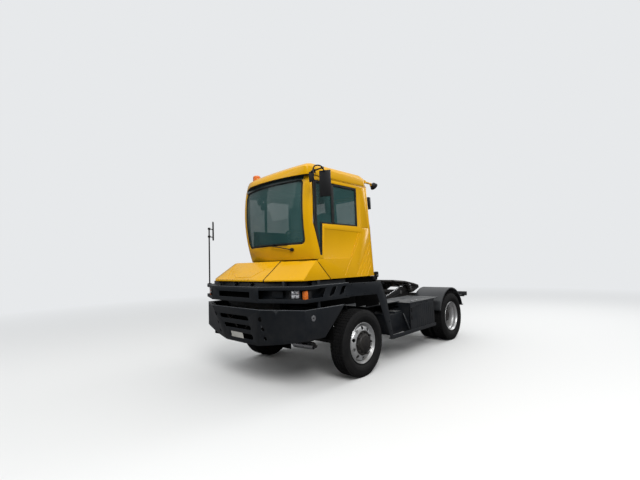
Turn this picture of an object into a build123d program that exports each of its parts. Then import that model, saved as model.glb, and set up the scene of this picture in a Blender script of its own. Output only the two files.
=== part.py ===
from build123d import *
import os
from math import sin, cos, radians, hypot, sqrt

os.makedirs("parts", exist_ok=True)

# Terminal tractor, millimetres. +X forward, +Y the vehicle's left, +Z up, ground at z = 0.
# The cab stands on the left, the engine cover reaches back along its right.

# overall
HALF_LENGTH = 2700.0
NOSE_X = HALF_LENGTH
TAIL_X = -HALF_LENGTH
AXLE_F = 1250.0
AXLE_R = -1850.0
SIDE_Y = 1220.0
PLATE_T = 10.0
GAP = 6.0
SEAT = 0.3
RUN_GAP = 0.05

# wheels
TYRE_R = 490.0
TYRE_W = 275.0
BEAD_R = 286.0
FLANGE_R = 298.5
BEAD_Y = 98.0
RIM_HALF = 112.0
WHEEL_Y = SIDE_Y - TYRE_W / 2
TWIN_PITCH = 320.0
KINGPIN_Y = 925.0
KINGPIN_R = 25.0
AXLE_END_R = 46.0
STUB_R = 45.0

# frame
RAIL_IN = 395.0
RAIL_OUT = 465.0
RAIL_Z0 = 640.0
RAIL_Z1 = 880.0
RAIL_FRONT = NOSE_X - 260
RAIL_REAR = TAIL_X + 100

# bumper, three folded faces that narrow downwards
BUMPER_TOP = 1100.0
BUMPER_BOTTOM = 585.0
BUMPER_CORNER = (NOSE_X - 270, SIDE_Y - 8)
FOLD_TOP = (NOSE_X - 4, 608.0)
FOLD_BOTTOM = (NOSE_X - 125, 400.0)

# lamp band above the bumper
BAND_Z0 = 1190.0
BAND_Z1 = 1400.0
BAND_DEPTH = 120.0
BAND_SHEET = 8.0
BAND_FOLD = (NOSE_X, 590.0)
BAND_CORNER = (NOSE_X - 255, SIDE_Y)
BAND_REAR = AXLE_F + 310

# cab
CAB_L = 1200.0
CAB_R = -350.0
CAB_MID = (CAB_L + CAB_R) / 2
CAB_WALL = 45.0
CAB_Z0 = 1470.0
CAB_BASE = 1745.0
BELT = 2225.0
ROOF_TOP = 3015.0
GUTTER = ROOF_TOP - 145
CAB_FRONT = NOSE_X - 525
CAB_REAR_LOW = 906.0
CAB_REAR_HIGH = 1027.0
FRONT_SPLIT = CAB_FRONT - 115
DOOR_Y = (CAB_L - 760, CAB_L - 180)
DOOR_Z = (1540.0, GUTTER - 110)

# hood
HOOD_Z0 = 1468.0
HOOD_FLANGE = 1488.0
HOOD_TOP = CAB_BASE - 7
HOOD_T = 8.0
HOOD_NOSE = NOSE_X - 55
SEAM_Y = 643.0
HINGE = (NOSE_X - 85, BAND_Z1 + 38)
HINGE_R = 9.0
HINGE_Y = (-500.0, -100.0, 300.0)

# lift boom, coupling plate and lift cylinders
BOOM_H = (-250.0, 800.0)
BOOM_PIN_R = 45.0
PLATE_P = (-1600.0, 1080.0)
PLATE_PIN_R = 30.0
PLATE_TILT = 11.0
PLATE_UP = 120.0
ARM_Y = (300.0, 345.0)
CYL_B = (-550.0, 520.0)
CYL_E = (-650.0, 890.0)
CYL_Y = 215.0
CYL_PIN_R = 25.0
EYE_GAP = 2.0

# outer edges of the mirrors
MIRROR_Y = CAB_L + 247.3


def box(x0, x1, y0, y1, z0, z1, mode=Mode.ADD):
    with Locations(((x0 + x1) / 2, (y0 + y1) / 2, (z0 + z1) / 2)):
        Box(abs(x1 - x0), abs(y1 - y0), abs(z1 - z0), mode=mode)


def plate(plane, pts, depth, mode=Mode.ADD):
    with BuildSketch(plane) as s:
        with BuildLine():
            Polyline(*pts, close=True)
        make_face()
    extrude(s.sketch, amount=depth, mode=mode)


def side(pts, y0, y1, mode=Mode.ADD):
    # outline in X and Z, swept from y0 to y1
    plane = Plane(origin=(0, y0, 0), x_dir=(1, 0, 0), z_dir=(0, -1, 0))
    plate(plane, pts, -(y1 - y0), mode)


def bar(p0, p1, r, mode=Mode.ADD):
    v = Vector(*p1) - Vector(*p0)
    with BuildSketch(Plane(origin=p0, z_dir=(v.X, v.Y, v.Z))) as s:
        Circle(r)
    extrude(s.sketch, amount=v.length, mode=mode)


def strip(p, q, w):
    # thin outline of width w along the line from p to q
    d = hypot(q[0] - p[0], q[1] - p[1])
    nx, nz = -(q[1] - p[1]) / d * w / 2, (q[0] - p[0]) / d * w / 2
    return [(p[0] + nx, p[1] + nz), (q[0] + nx, q[1] + nz), (q[0] - nx, q[1] - nz), (p[0] - nx, p[1] - nz)]


def inset(pts, t):
    # moves every edge of a polygon that runs anticlockwise inwards by t
    out = []
    n = len(pts)
    for i in range(n):
        a, b, c = pts[i - 1], pts[i], pts[(i + 1) % n]
        d1 = (b[0] - a[0], b[1] - a[1])
        d2 = (c[0] - b[0], c[1] - b[1])
        l1, l2 = hypot(*d1), hypot(*d2)
        n1 = (-d1[1] / l1, d1[0] / l1)
        n2 = (-d2[1] / l2, d2[0] / l2)
        k = t / (1 + n1[0] * n2[0] + n1[1] * n2[1])
        out.append((b[0] + k * (n1[0] + n2[0]), b[1] + k * (n1[1] + n2[1])))
    return out


def ring(low, high, z0, z1, mode=Mode.ADD):
    # ruled solid between two plan polygons with the same corners
    with BuildSketch(Plane.XY.offset(z0)) as a:
        with BuildLine():
            Polyline(*low, close=True)
        make_face()
    with BuildSketch(Plane.XY.offset(z1)) as b:
        with BuildLine():
            Polyline(*high, close=True)
        make_face()
    loft([a.sketch.faces()[0], b.sketch.faces()[0]], ruled=True, mode=mode)


def revolve_y(profile, x, y, z, sgn=1, mode=Mode.ADD):
    # profile of (radius, distance outboard), turned about an axle along Y
    with BuildSketch(Plane.XY.offset(z)) as s:
        with BuildLine():
            Polyline(*[(x + r, y + sgn * w) for r, w in profile], close=True)
        make_face()
    revolve(s.sketch, axis=Axis((x, y, z), (0, 1, 0)), mode=mode)


# frame: two channel rails, cross members, cab posts and the boom's pivot brackets
SHAFT = ((AXLE_R + 330, TYRE_R + 20), (AXLE_F - 350, 620.0))
SHAFT_R = 40.0


def shaft_z(x):
    (xa, za), (xb, zb) = SHAFT
    return za + (zb - za) * (x - xa) / (xb - xa)


CAB_BEAMS = (FRONT_SPLIT + 35, CAB_REAR_LOW + 94)
with BuildPart() as frame_rails:
    box(RAIL_REAR, RAIL_FRONT, RAIL_IN, RAIL_OUT, RAIL_Z0, RAIL_Z1)
    box(RAIL_REAR + 60, RAIL_FRONT - 60, RAIL_IN - 5, RAIL_OUT - 12, RAIL_Z0 + 14, RAIL_Z1 - 14,
        Mode.SUBTRACT)
    box(RAIL_FRONT - 60, RAIL_FRONT, 0, RAIL_OUT, RAIL_Z0, RAIL_Z1 + 60)
    for x in (AXLE_F + 700, AXLE_F - 750, AXLE_R + 700):
        box(x - 40, x + 40, 0, RAIL_OUT - 12, RAIL_Z0 + 20, RAIL_Z1 - 100)
    box(RAIL_REAR - 40, RAIL_REAR, 0, RAIL_OUT + 60, RAIL_Z0 - 20, RAIL_Z1)
    for x in CAB_BEAMS:
        box(x - 35, x + 35, RAIL_IN, RAIL_OUT, RAIL_Z1, CAB_Z0 - SEAT)
    bx, bz = BOOM_H
    side([(bx - 130, RAIL_Z1 - 120), (bx + 130, RAIL_Z1 - 120), (bx + 80, bz + 90), (bx - 80, bz + 90)],
         RAIL_IN - 25, RAIL_OUT - 12)
    bar((bx, RAIL_IN - 30, bz), (bx, RAIL_OUT, bz), BOOM_PIN_R + RUN_GAP, Mode.SUBTRACT)
    cx, cz = CYL_B
    box(cx + 70, cx + 140, 0, RAIL_OUT - 12, cz - 60, RAIL_Z0 + 80)
    for y in (CYL_Y - 75, CYL_Y + 55):
        box(cx - 55, cx + 80, y, y + 20, cz - 60, cz + 90)
    bar((cx, CYL_Y - 75, cz), (cx, CYL_Y + 75, cz), CYL_PIN_R)
    mirror(about=Plane.XZ)
    bar((cx + 60, 0, shaft_z(cx + 105)), (cx + 150, 0, shaft_z(cx + 105)), SHAFT_R + 30, Mode.SUBTRACT)
    for x in CAB_BEAMS:
        box(x - 35, x + 35, -RAIL_OUT, CAB_L - 60, CAB_Z0 - 60, CAB_Z0 - SEAT)
frame_rails.part.label = "frame_rails"
export_step(frame_rails.part, "parts/frame_rails.step")

# bumper: folded plates with three rows of slots and step holes, and an upright lining behind each cheek
ARCH_FRONT = AXLE_F + 424
LINING_X = BUMPER_CORNER[0] - 330
LINING_T = 6.0
top = [(ARCH_FRONT + 16, -SIDE_Y), (BUMPER_CORNER[0], -BUMPER_CORNER[1]), (FOLD_TOP[0], -FOLD_TOP[1]),
       FOLD_TOP, BUMPER_CORNER, (ARCH_FRONT + 16, SIDE_Y)]
low = [(ARCH_FRONT + 16, -SIDE_Y), (BUMPER_CORNER[0], -BUMPER_CORNER[1]), (FOLD_BOTTOM[0], -FOLD_BOTTOM[1]),
       FOLD_BOTTOM, BUMPER_CORNER, (ARCH_FRONT + 16, SIDE_Y)]
top_in, low_in, lip_in = inset(top, PLATE_T), inset(low, PLATE_T), inset(top, 70)
for pts in (top_in, low_in, lip_in):
    pts[0] = (ARCH_FRONT - 74, pts[0][1])
    pts[-1] = (ARCH_FRONT - 74, pts[-1][1])
with BuildPart() as front_bumper:
    ring(low, top, BUMPER_BOTTOM, BUMPER_TOP)
    ring(low_in, top_in, BUMPER_BOTTOM - 1, BUMPER_TOP - PLATE_T, Mode.SUBTRACT)
    ring(lip_in, lip_in, BUMPER_TOP - PLATE_T - 1, BUMPER_TOP + 1, Mode.SUBTRACT)
    side([(ARCH_FRONT - 174, BUMPER_TOP + 1), (ARCH_FRONT, BUMPER_TOP + 1), (ARCH_FRONT + 415, 716),
          (BUMPER_CORNER[0], 718), (FOLD_BOTTOM[0], BUMPER_BOTTOM), (FOLD_BOTTOM[0], 300),
          (ARCH_FRONT - 174, 300)], -SIDE_Y - 80, SIDE_Y + 80, Mode.SUBTRACT)
    # slots: height of the middle, width, right end, left end
    for z, h, y0, y1 in ((960, 62, -430, 305), (827, 62, -360, 315), (696, 75, -245, 320)):
        with BuildSketch(Plane(origin=(NOSE_X + 100, 0, 0), x_dir=(0, 1, 0), z_dir=(1, 0, 0))) as slot:
            with Locations(((y0 + y1) / 2, z)):
                SlotOverall(y1 - y0, h)
        extrude(slot.sketch, amount=-400, mode=Mode.SUBTRACT)
    for z in (965, 832, 703):
        for y in (-565, 565):
            bar((NOSE_X + 100, y, z), (NOSE_X - 400, y, z), 24, Mode.SUBTRACT)
    for y in (-430, 340):
        box(RAIL_FRONT + SEAT, FOLD_TOP[0] - 60, y, y + 90, RAIL_Z1 - 20, RAIL_Z1 + 20)
    for sgn in (1, -1):
        plate(Plane(origin=(LINING_X, 0, 0), x_dir=(0, 1, 0), z_dir=(1, 0, 0)),
              [(sgn * (RAIL_OUT + GAP), BUMPER_BOTTOM + 20), (sgn * (SIDE_Y - 320), BUMPER_BOTTOM + 20),
               (sgn * (SIDE_Y - 5), BUMPER_BOTTOM + 150), (sgn * (SIDE_Y - 5), BUMPER_TOP - 5),
               (sgn * (RAIL_OUT + GAP), BUMPER_TOP - 5)], LINING_T)
front_bumper.part.label = "front_bumper"
export_step(front_bumper.part, "parts/front_bumper.step")

# number plate, blank, on the lowest part of the bumper's face
PLATE_MID_Z = 696.0
with BuildPart() as number_plate:
    run, fall = FOLD_TOP[0] - FOLD_BOTTOM[0], BUMPER_TOP - BUMPER_BOTTOM
    face_x = FOLD_TOP[0] - run * (BUMPER_TOP - PLATE_MID_Z) / fall
    face = Plane(origin=(face_x + SEAT, -65, PLATE_MID_Z), x_dir=(0, 1, 0), z_dir=(fall, 0, -run))
    with BuildSketch(face) as s:
        Rectangle(300, 82)
    extrude(s.sketch, amount=3)
number_plate.part.label = "number_plate"
export_step(number_plate.part, "parts/number_plate.step")

# lamp band with side panels, slanted legs and the low side rails
BOX_REAR = AXLE_R + 805
LEG = [(BAND_REAR + 12, BAND_Z1 - 10), (AXLE_F - 489, BAND_Z1 - 28), (AXLE_F - 640, 1060),
       (AXLE_F - 780, 478), (BOX_REAR - 28, 470), (BOX_REAR - 28, 412), (AXLE_F - 717, 420),
       (AXLE_F - 369, BAND_Z0 - 10), (BAND_REAR + 12, BAND_Z0 + 10)]
band = [(BAND_REAR, -SIDE_Y), (BAND_CORNER[0], -SIDE_Y), (BAND_FOLD[0], -BAND_FOLD[1]),
        BAND_FOLD, BAND_CORNER, (BAND_REAR, SIDE_Y)]
band_in = inset(band, PLATE_T)
band_back = inset(band, BAND_DEPTH - PLATE_T)
band_far = inset(band, BAND_DEPTH)
band_far[0] = (BAND_REAR - 60, band_far[0][1])
band_far[-1] = (BAND_REAR - 60, band_far[-1][1])
# dust walls on the band, up to just under the hood
DUST_TOP = HOOD_Z0 - 14
DUST_REAR = BAND_CORNER[0] - 205
DUST_Y = CAB_L - 54
LAMP_END = BAND_CORNER[0] - 333
MIRROR_POST = ((BAND_CORNER[0] - 30, -SIDE_Y + 30), (BAND_CORNER[0] - 70, -SIDE_Y - 42))
with BuildPart() as lamp_band:
    ring(band, band, BAND_Z0, BAND_Z1)
    ring(band_in, band_in, BAND_Z0 + BAND_SHEET, BAND_Z1 - BAND_SHEET, Mode.SUBTRACT)
    ring(band_back, band_back, BAND_Z0, DUST_TOP)
    ring(band_far, band_far, BAND_Z0 - 1, DUST_TOP + 1, Mode.SUBTRACT)
    box(BAND_REAR - 70, DUST_REAR, -SIDE_Y - 10, SIDE_Y + 10, BAND_Z1, DUST_TOP + 10, Mode.SUBTRACT)
    side(LEG, SIDE_Y - PLATE_T, SIDE_Y)
    side(LEG, -SIDE_Y, -SIDE_Y + PLATE_T)
    for sgn in (1, -1):
        box(BOX_REAR - 28, AXLE_F - 770, sgn * (SIDE_Y - 90), sgn * SIDE_Y, 412, 424)
        box(AXLE_F - 390, BAND_REAR + 12, sgn * (SIDE_Y - 60), sgn * SIDE_Y, BAND_Z0 + 10, BAND_Z0 + 20)
        box(AXLE_F - 310, AXLE_F - 210, sgn * (RAIL_OUT + SEAT), sgn * SIDE_Y, BAND_Z0 + 25, BAND_Z0 + 65)
        box(BAND_CORNER[0] - 205, BAND_CORNER[0] - 105, sgn * (RAIL_OUT + SEAT), sgn * (SIDE_Y - 60),
            BAND_Z0 + 20, BAND_Z0 + 60)
        box(BAND_REAR, DUST_REAR, sgn * DUST_Y, sgn * (DUST_Y + 6), BAND_Z1 - 4, DUST_TOP)
        # the band's back carried on behind the slanted slots
        box(BAND_REAR - 160, BAND_REAR + BAND_DEPTH + 10, sgn * (SIDE_Y - BAND_DEPTH),
            sgn * (SIDE_Y - BAND_DEPTH + PLATE_T), BAND_Z0 + 12, BAND_Z1 - BAND_SHEET)
        # tie bars down to the bumper's lip
        box(BAND_CORNER[0] - 300, BAND_CORNER[0] - 260, sgn * (SIDE_Y - 50), sgn * (SIDE_Y - 20),
            BUMPER_TOP + SEAT, BAND_Z0 + 4)
    for y in HINGE_Y:
        hx, hz = HINGE
        box(hx - 18, hx + 18, y, y + 24, BAND_Z1 - 4, hz + 14)
        bar((hx, y - 30, hz), (hx, y + 54, hz), HINGE_R)
    # rests of the fixed hood panel
    box(HOOD_NOSE - 150, HOOD_NOSE - 105, 895, 935, BAND_Z1 - 4, HOOD_Z0 - SEAT)
    box(BAND_CORNER[0] - 305, BAND_CORNER[0] - 265, 1150, 1194, BAND_Z1 - 4, HOOD_Z0 - SEAT)
    # slot in the front face
    box(NOSE_X - 80, NOSE_X + 60, -395, 395, 1250, 1330, Mode.SUBTRACT)
    for sgn in (1, -1):
        # lamp opening round the corner, with slanted ends
        with BuildSketch(Plane.XY.offset(1240)) as cut:
            with BuildLine():
                Polyline((NOSE_X + 100, sgn * 630), (NOSE_X - 100, sgn * 560),
                         (BAND_CORNER[0] - 45, sgn * (SIDE_Y - 70)), (LAMP_END, sgn * (SIDE_Y - 70)),
                         (LAMP_END - 22, sgn * (SIDE_Y + 80)),
                         (NOSE_X + 100, sgn * (SIDE_Y + 80)), close=True)
            make_face()
        extrude(cut.sketch, amount=115, mode=Mode.SUBTRACT)
        # slanted slots: distance of the two low corners and the two high corners behind the band's corner
        for a, b, c, d in ((456, 509, 597, 519), (663, 713, 794, 728)):
            x = BAND_CORNER[0]
            side([(x - a, 1243), (x - b, 1243), (x - c, 1352), (x - d, 1352)], sgn * (SIDE_Y - 40),
                 sgn * (SIDE_Y + 80), Mode.SUBTRACT)
lamp_band.part.label = "lamp_band"
export_step(lamp_band.part, "parts/lamp_band.step")


def corner_block(pts, depth, sgn):
    # block on the band's floor from distances behind the band's corner and from the middle plane
    with BuildSketch(Plane.XY.offset(BAND_Z0 + BAND_SHEET + SEAT)) as s:
        with BuildLine():
            Polyline(*[(BAND_CORNER[0] + a, sgn * (SIDE_Y - b)) for a, b in pts], close=True)
        make_face()
    extrude(s.sketch, amount=depth)


# head lamps: twin lenses in a block on each front corner
with BuildPart() as head_lamps:
    for sgn in (1, -1):
        corner_block([(55, 235), (-20, 90), (-56, 105), (15, 255)], 148, sgn)
head_lamps.part.label = "head_lamps"
export_step(head_lamps.part, "parts/head_lamps.step")

# amber lamps: corner indicators and the beacon on the roof
BEACON = (CAB_FRONT - 5, CAB_R + 250)
with BuildPart() as amber_lamps:
    for sgn in (1, -1):
        corner_block([(-13, 80), (-31, 25), (-95, 15), (-95, 85)], 150, sgn)
    bar((*BEACON, ROOF_TOP + SEAT), (*BEACON, ROOF_TOP + 22), 52)
    bar((*BEACON, ROOF_TOP + 22), (*BEACON, ROOF_TOP + 92), 43)
    with Locations((*BEACON, ROOF_TOP + 92)):
        Cone(43, 26, 18, align=(Align.CENTER, Align.CENTER, Align.MIN))
amber_lamps.part.label = "amber_lamps"
export_step(amber_lamps.part, "parts/amber_lamps.step")

# front axle: beam, kingpins and the leaf springs on it
KP_Z = (400.0, 580.0)
AXLE_END_Z = (430.0, 550.0)
SPRING_Y = (RAIL_IN - 5, RAIL_OUT + 5)
SPRING_HALF = 620.0
with BuildPart() as front_axle:
    box(AXLE_F - 60, AXLE_F + 60, 0, KINGPIN_Y - 130, 420, 540)
    side([(AXLE_F - 30, AXLE_END_Z[0]), (AXLE_F + 30, AXLE_END_Z[0]), (AXLE_F + 30, AXLE_END_Z[1]),
          (AXLE_F - 30, AXLE_END_Z[1])], KINGPIN_Y - 140, KINGPIN_Y)
    bar((AXLE_F, KINGPIN_Y, AXLE_END_Z[0]), (AXLE_F, KINGPIN_Y, AXLE_END_Z[1]), AXLE_END_R)
    bar((AXLE_F, KINGPIN_Y, KP_Z[0] - 30), (AXLE_F, KINGPIN_Y, KP_Z[1] + 30), KINGPIN_R)
    box(AXLE_F - SPRING_HALF, AXLE_F + SPRING_HALF, *SPRING_Y, 578, 596)
    box(AXLE_F - SPRING_HALF * 0.72, AXLE_F + SPRING_HALF * 0.72, *SPRING_Y, 559, 577)
    box(AXLE_F - SPRING_HALF * 0.42, AXLE_F + SPRING_HALF * 0.42, *SPRING_Y, 540, 558)
    box(AXLE_F - 90, AXLE_F + 90, SPRING_Y[0] - 15, SPRING_Y[1] + 15, 530, 608)
    for x in (AXLE_F - SPRING_HALF + 20, AXLE_F + SPRING_HALF - 20):
        box(x - 30, x + 30, RAIL_IN, RAIL_OUT, 590, RAIL_Z0 - SEAT)
    mirror(about=Plane.XZ)
front_axle.part.label = "front_axle"
export_step(front_axle.part, "parts/front_axle.step")

# knuckles: a fork round the axle's end, a web beside it and a stub axle
WEB = (AXLE_END_R + 8, AXLE_END_R + 50)
FORK_HALF = 46.0
for label, sgn in (("knuckle_left", 1), ("knuckle_right", -1)):
    with BuildPart() as knuckle:
        ky = sgn * KINGPIN_Y
        for z0, z1 in ((AXLE_END_Z[1] + GAP, 600), (380, AXLE_END_Z[0] - GAP)):
            box(AXLE_F - FORK_HALF, AXLE_F + FORK_HALF, ky, ky + sgn * WEB[1], z0, z1)
            bar((AXLE_F, ky, z0), (AXLE_F, ky, z1), FORK_HALF)
        box(AXLE_F - FORK_HALF, AXLE_F + FORK_HALF, ky + sgn * WEB[0], ky + sgn * WEB[1], 380, 600)
        bar((AXLE_F, ky, 370), (AXLE_F, ky, 610), KINGPIN_R + RUN_GAP, Mode.SUBTRACT)
        bar((AXLE_F, ky + sgn * (WEB[1] - 5), TYRE_R), (AXLE_F, sgn * (WHEEL_Y + 70), TYRE_R), STUB_R)
        box(AXLE_F - 210, AXLE_F - 35, ky - 20, ky + 20, 384, 404)
    knuckle.part.label = label
    export_step(knuckle.part, f"parts/{label}.step")

# rear axle: tube, differential, spring seats up to the rails, and the propeller shaft
with BuildPart() as rear_axle:
    bar((AXLE_R, 0, TYRE_R), (AXLE_R, WHEEL_Y + 10, TYRE_R), 62)
    bar((AXLE_R, 0, TYRE_R), (AXLE_R, 130, TYRE_R), 190)
    box(AXLE_R - 110, AXLE_R + 110, *SPRING_Y, TYRE_R - 70, RAIL_Z0 - SEAT)
    mirror(about=Plane.XZ)
    bar((AXLE_R + 150, 0, TYRE_R), (SHAFT[0][0], 0, SHAFT[0][1]), 70)
    bar((SHAFT[0][0] - 5, 0, SHAFT[0][1]), (SHAFT[1][0] - 0.05 * SHAFT_R - SEAT, 0, SHAFT[1][1]), SHAFT_R)
rear_axle.part.label = "rear_axle"
export_step(rear_axle.part, "parts/rear_axle.step")

# tyres: 48 flat sides keep each within a millimetre of the true circle, with a vertex at the ground
SIDES = 48
TYRE_HALF = [(BEAD_Y, FLANGE_R + 4), (TYRE_W / 2, 385), (122, TYRE_R - 20), (92, TYRE_R)]
TYRE = TYRE_HALF + [(-w, r) for w, r in reversed(TYRE_HALF)]


def tyre_ring(x, y):
    # ruled ring through the sections of half width and radius, and the round bead seat
    with BuildPart(mode=Mode.PRIVATE) as ring_part:
        faces = []
        for w, r in TYRE:
            with BuildSketch(Plane(origin=(x, y + w, TYRE_R), x_dir=(1, 0, 0), z_dir=(0, -1, 0))) as s:
                RegularPolygon(r, SIDES)
            faces.append(s.sketch.faces()[0])
        loft(faces, ruled=True)
        with BuildSketch(Plane(origin=(x, y + BEAD_Y, TYRE_R), x_dir=(1, 0, 0), z_dir=(0, -1, 0))) as s:
            RegularPolygon(BEAD_R, SIDES, major_radius=False)
        extrude(s.sketch, amount=2 * BEAD_Y, mode=Mode.SUBTRACT)
    add(ring_part.part)


for label, x, ys in (("front_tyre_left", AXLE_F, (WHEEL_Y,)),
                     ("front_tyre_right", AXLE_F, (-WHEEL_Y,)),
                     ("rear_tyres_left", AXLE_R, (WHEEL_Y, WHEEL_Y - TWIN_PITCH)),
                     ("rear_tyres_right", AXLE_R, (-WHEEL_Y, TWIN_PITCH - WHEEL_Y))):
    with BuildPart() as tyre:
        for y in ys:
            tyre_ring(x, y)
    tyre.part.label = label
    export_step(tyre.part, f"parts/{label}.step")

# front rims: convex disc near the outer flange, hand holes, hub
RIM_OUT = BEAD_R - SEAT
HUB_BORE = STUB_R + RUN_GAP
FLANGE_IN = BEAD_Y + SEAT
FRONT_RIM = [(FLANGE_R, FLANGE_IN), (FLANGE_R, RIM_HALF), (276, RIM_HALF), (264, 55), (246, 100), (178, 104),
             (140, 118), (128, 152), (0, 160), (0, 75), (HUB_BORE, 75), (HUB_BORE, -50), (95, -50), (95, 88),
             (238, 88), (268, -RIM_HALF + 12), (FLANGE_R, -RIM_HALF), (FLANGE_R, -FLANGE_IN),
             (RIM_OUT, -FLANGE_IN), (RIM_OUT, FLANGE_IN)]
HAND_HOLES = 10
HOLE_R = 212.0
for label, sgn in (("front_rim_left", 1), ("front_rim_right", -1)):
    with BuildPart() as rim:
        revolve_y(FRONT_RIM, AXLE_F, sgn * WHEEL_Y, TYRE_R, sgn)
        for i in range(HAND_HOLES):
            a = radians(360 / HAND_HOLES * (i + 0.5))
            hx, hz = AXLE_F + HOLE_R * cos(a), TYRE_R + HOLE_R * sin(a)
            bar((hx, sgn * (WHEEL_Y + 40), hz), (hx, sgn * (WHEEL_Y + 140), hz), 20, Mode.SUBTRACT)
    rim.part.label = label
    export_step(rim.part, f"parts/{label}.step")

# rear rims: outer and inner, discs face to face between them, one hub
HUB_R = 62.0
for label, sgn in (("rear_rims_left", 1), ("rear_rims_right", -1)):
    with BuildPart() as rim:
        mid = WHEEL_Y - TWIN_PITCH / 2
        for y, s2 in ((WHEEL_Y, 1), (WHEEL_Y - TWIN_PITCH, -1)):
            disc = (mid - y) * s2
            prof = [(FLANGE_R, FLANGE_IN), (FLANGE_R, RIM_HALF), (278, RIM_HALF), (267, 40), (243, 20),
                    (243, -90), (222, disc + 12), (150, disc + 12), (150, disc), (230, disc), (268, -95),
                    (FLANGE_R, -RIM_HALF), (FLANGE_R, -FLANGE_IN), (RIM_OUT, -FLANGE_IN),
                    (RIM_OUT, FLANGE_IN)]
            revolve_y(prof, AXLE_R, sgn * y, TYRE_R, sgn * s2)
        hub = [(HUB_R + RUN_GAP, -90), (150, -90), (150, 60), (135, 130), (100, 190), (0, 190), (0, 185),
               (HUB_R + RUN_GAP, 185)]
        revolve_y(hub, AXLE_R, sgn * mid, TYRE_R, sgn)
        for i in range(HAND_HOLES):
            a = radians(360 / HAND_HOLES * (i + 0.5))
            hx, hz = AXLE_R + 188 * cos(a), TYRE_R + 188 * sin(a)
            bar((hx, sgn * (mid - 60), hz), (hx, sgn * (mid + 60), hz), 20, Mode.SUBTRACT)
    rim.part.label = label
    export_step(rim.part, f"parts/{label}.step")

# engine and gearbox as blocks, and the radiator in front of them
with BuildPart() as engine_block:
    box(AXLE_F + 50, AXLE_F + 800, -360, 340, 800, 1380)
    box(SHAFT[1][0], AXLE_F + 50, -180, 180, SHAFT[1][1] - 45, 1000)
    box(RAIL_FRONT - 290, RAIL_FRONT - 180, -370, 370, 900, 1380)
    box(AXLE_F + 800, RAIL_FRONT - 290, -60, 60, 1000, 1080)
    box(AXLE_F + 250, AXLE_F + 310, -RAIL_OUT, RAIL_OUT, RAIL_Z1 + SEAT, RAIL_Z1 + 30)
    box(RAIL_FRONT - 270, RAIL_FRONT - 200, -RAIL_OUT, RAIL_OUT, RAIL_Z1 + SEAT, RAIL_Z1 + 30)
engine_block.part.label = "engine_block"
export_step(engine_block.part, "parts/engine_block.step")

# left step box, with a tread and a lower box in front of it
BOX_FRONT = -120.0
BOX_TOP = 938.0
TREAD_Z = 790.0
BOX_BASE = 424 + SEAT
with BuildPart() as step_box:
    box(BOX_REAR, BOX_FRONT, RAIL_OUT + SEAT, SIDE_Y - PLATE_T - SEAT, BOX_BASE, BOX_TOP)
    box(BOX_REAR - 255, BOX_REAR, RAIL_OUT + SEAT, SIDE_Y - 30, BOX_TOP - 12, BOX_TOP)
    box(BOX_FRONT, 300, RAIL_OUT + SEAT, SIDE_Y - 175, BOX_BASE, TREAD_Z - 25)
    box(BOX_FRONT, 60, SIDE_Y - 480, SIDE_Y - 195, TREAD_Z - 25, TREAD_Z)
    # hand hold in the front wall
    box(BOX_FRONT - 60, BOX_FRONT, SIDE_Y - 386, SIDE_Y - 247, TREAD_Z + 45, TREAD_Z + 80, Mode.SUBTRACT)
    bar((BOX_FRONT + 9, 1074, 750), (BOX_FRONT + 9, 1192, 470), 14)
    for z0, z1 in ((765, 843), (634, 706)):
        box(BOX_FRONT - 75, BOX_FRONT - 45, SIDE_Y - PLATE_T - 20, SIDE_Y, z0, z1, Mode.SUBTRACT)
step_box.part.label = "step_box"
export_step(step_box.part, "parts/step_box.step")

# right tank
with BuildPart() as fuel_tank:
    box(BOX_REAR, 300, -SIDE_Y + PLATE_T + SEAT, -RAIL_OUT - SEAT, BOX_BASE, BOX_TOP)
    fillet(fuel_tank.edges().filter_by(Axis.X).group_by(Axis.Z)[-1], 40)
fuel_tank.part.label = "fuel_tank"
export_step(fuel_tank.part, "parts/fuel_tank.step")

# deck behind the cab
DECK_Z = RAIL_Z1 + 70
with BuildPart() as deck_plate:
    box(BOX_FRONT, CAB_REAR_LOW - 26, -SIDE_Y + 40, SIDE_Y - 220, DECK_Z, DECK_Z + 12)
    for x in (BOX_FRONT + 60, 300, 700):
        box(x, x + 60, -RAIL_OUT, RAIL_OUT, RAIL_Z1 + SEAT, DECK_Z)
deck_plate.part.label = "deck_plate"
export_step(deck_plate.part, "parts/deck_plate.step")

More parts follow.
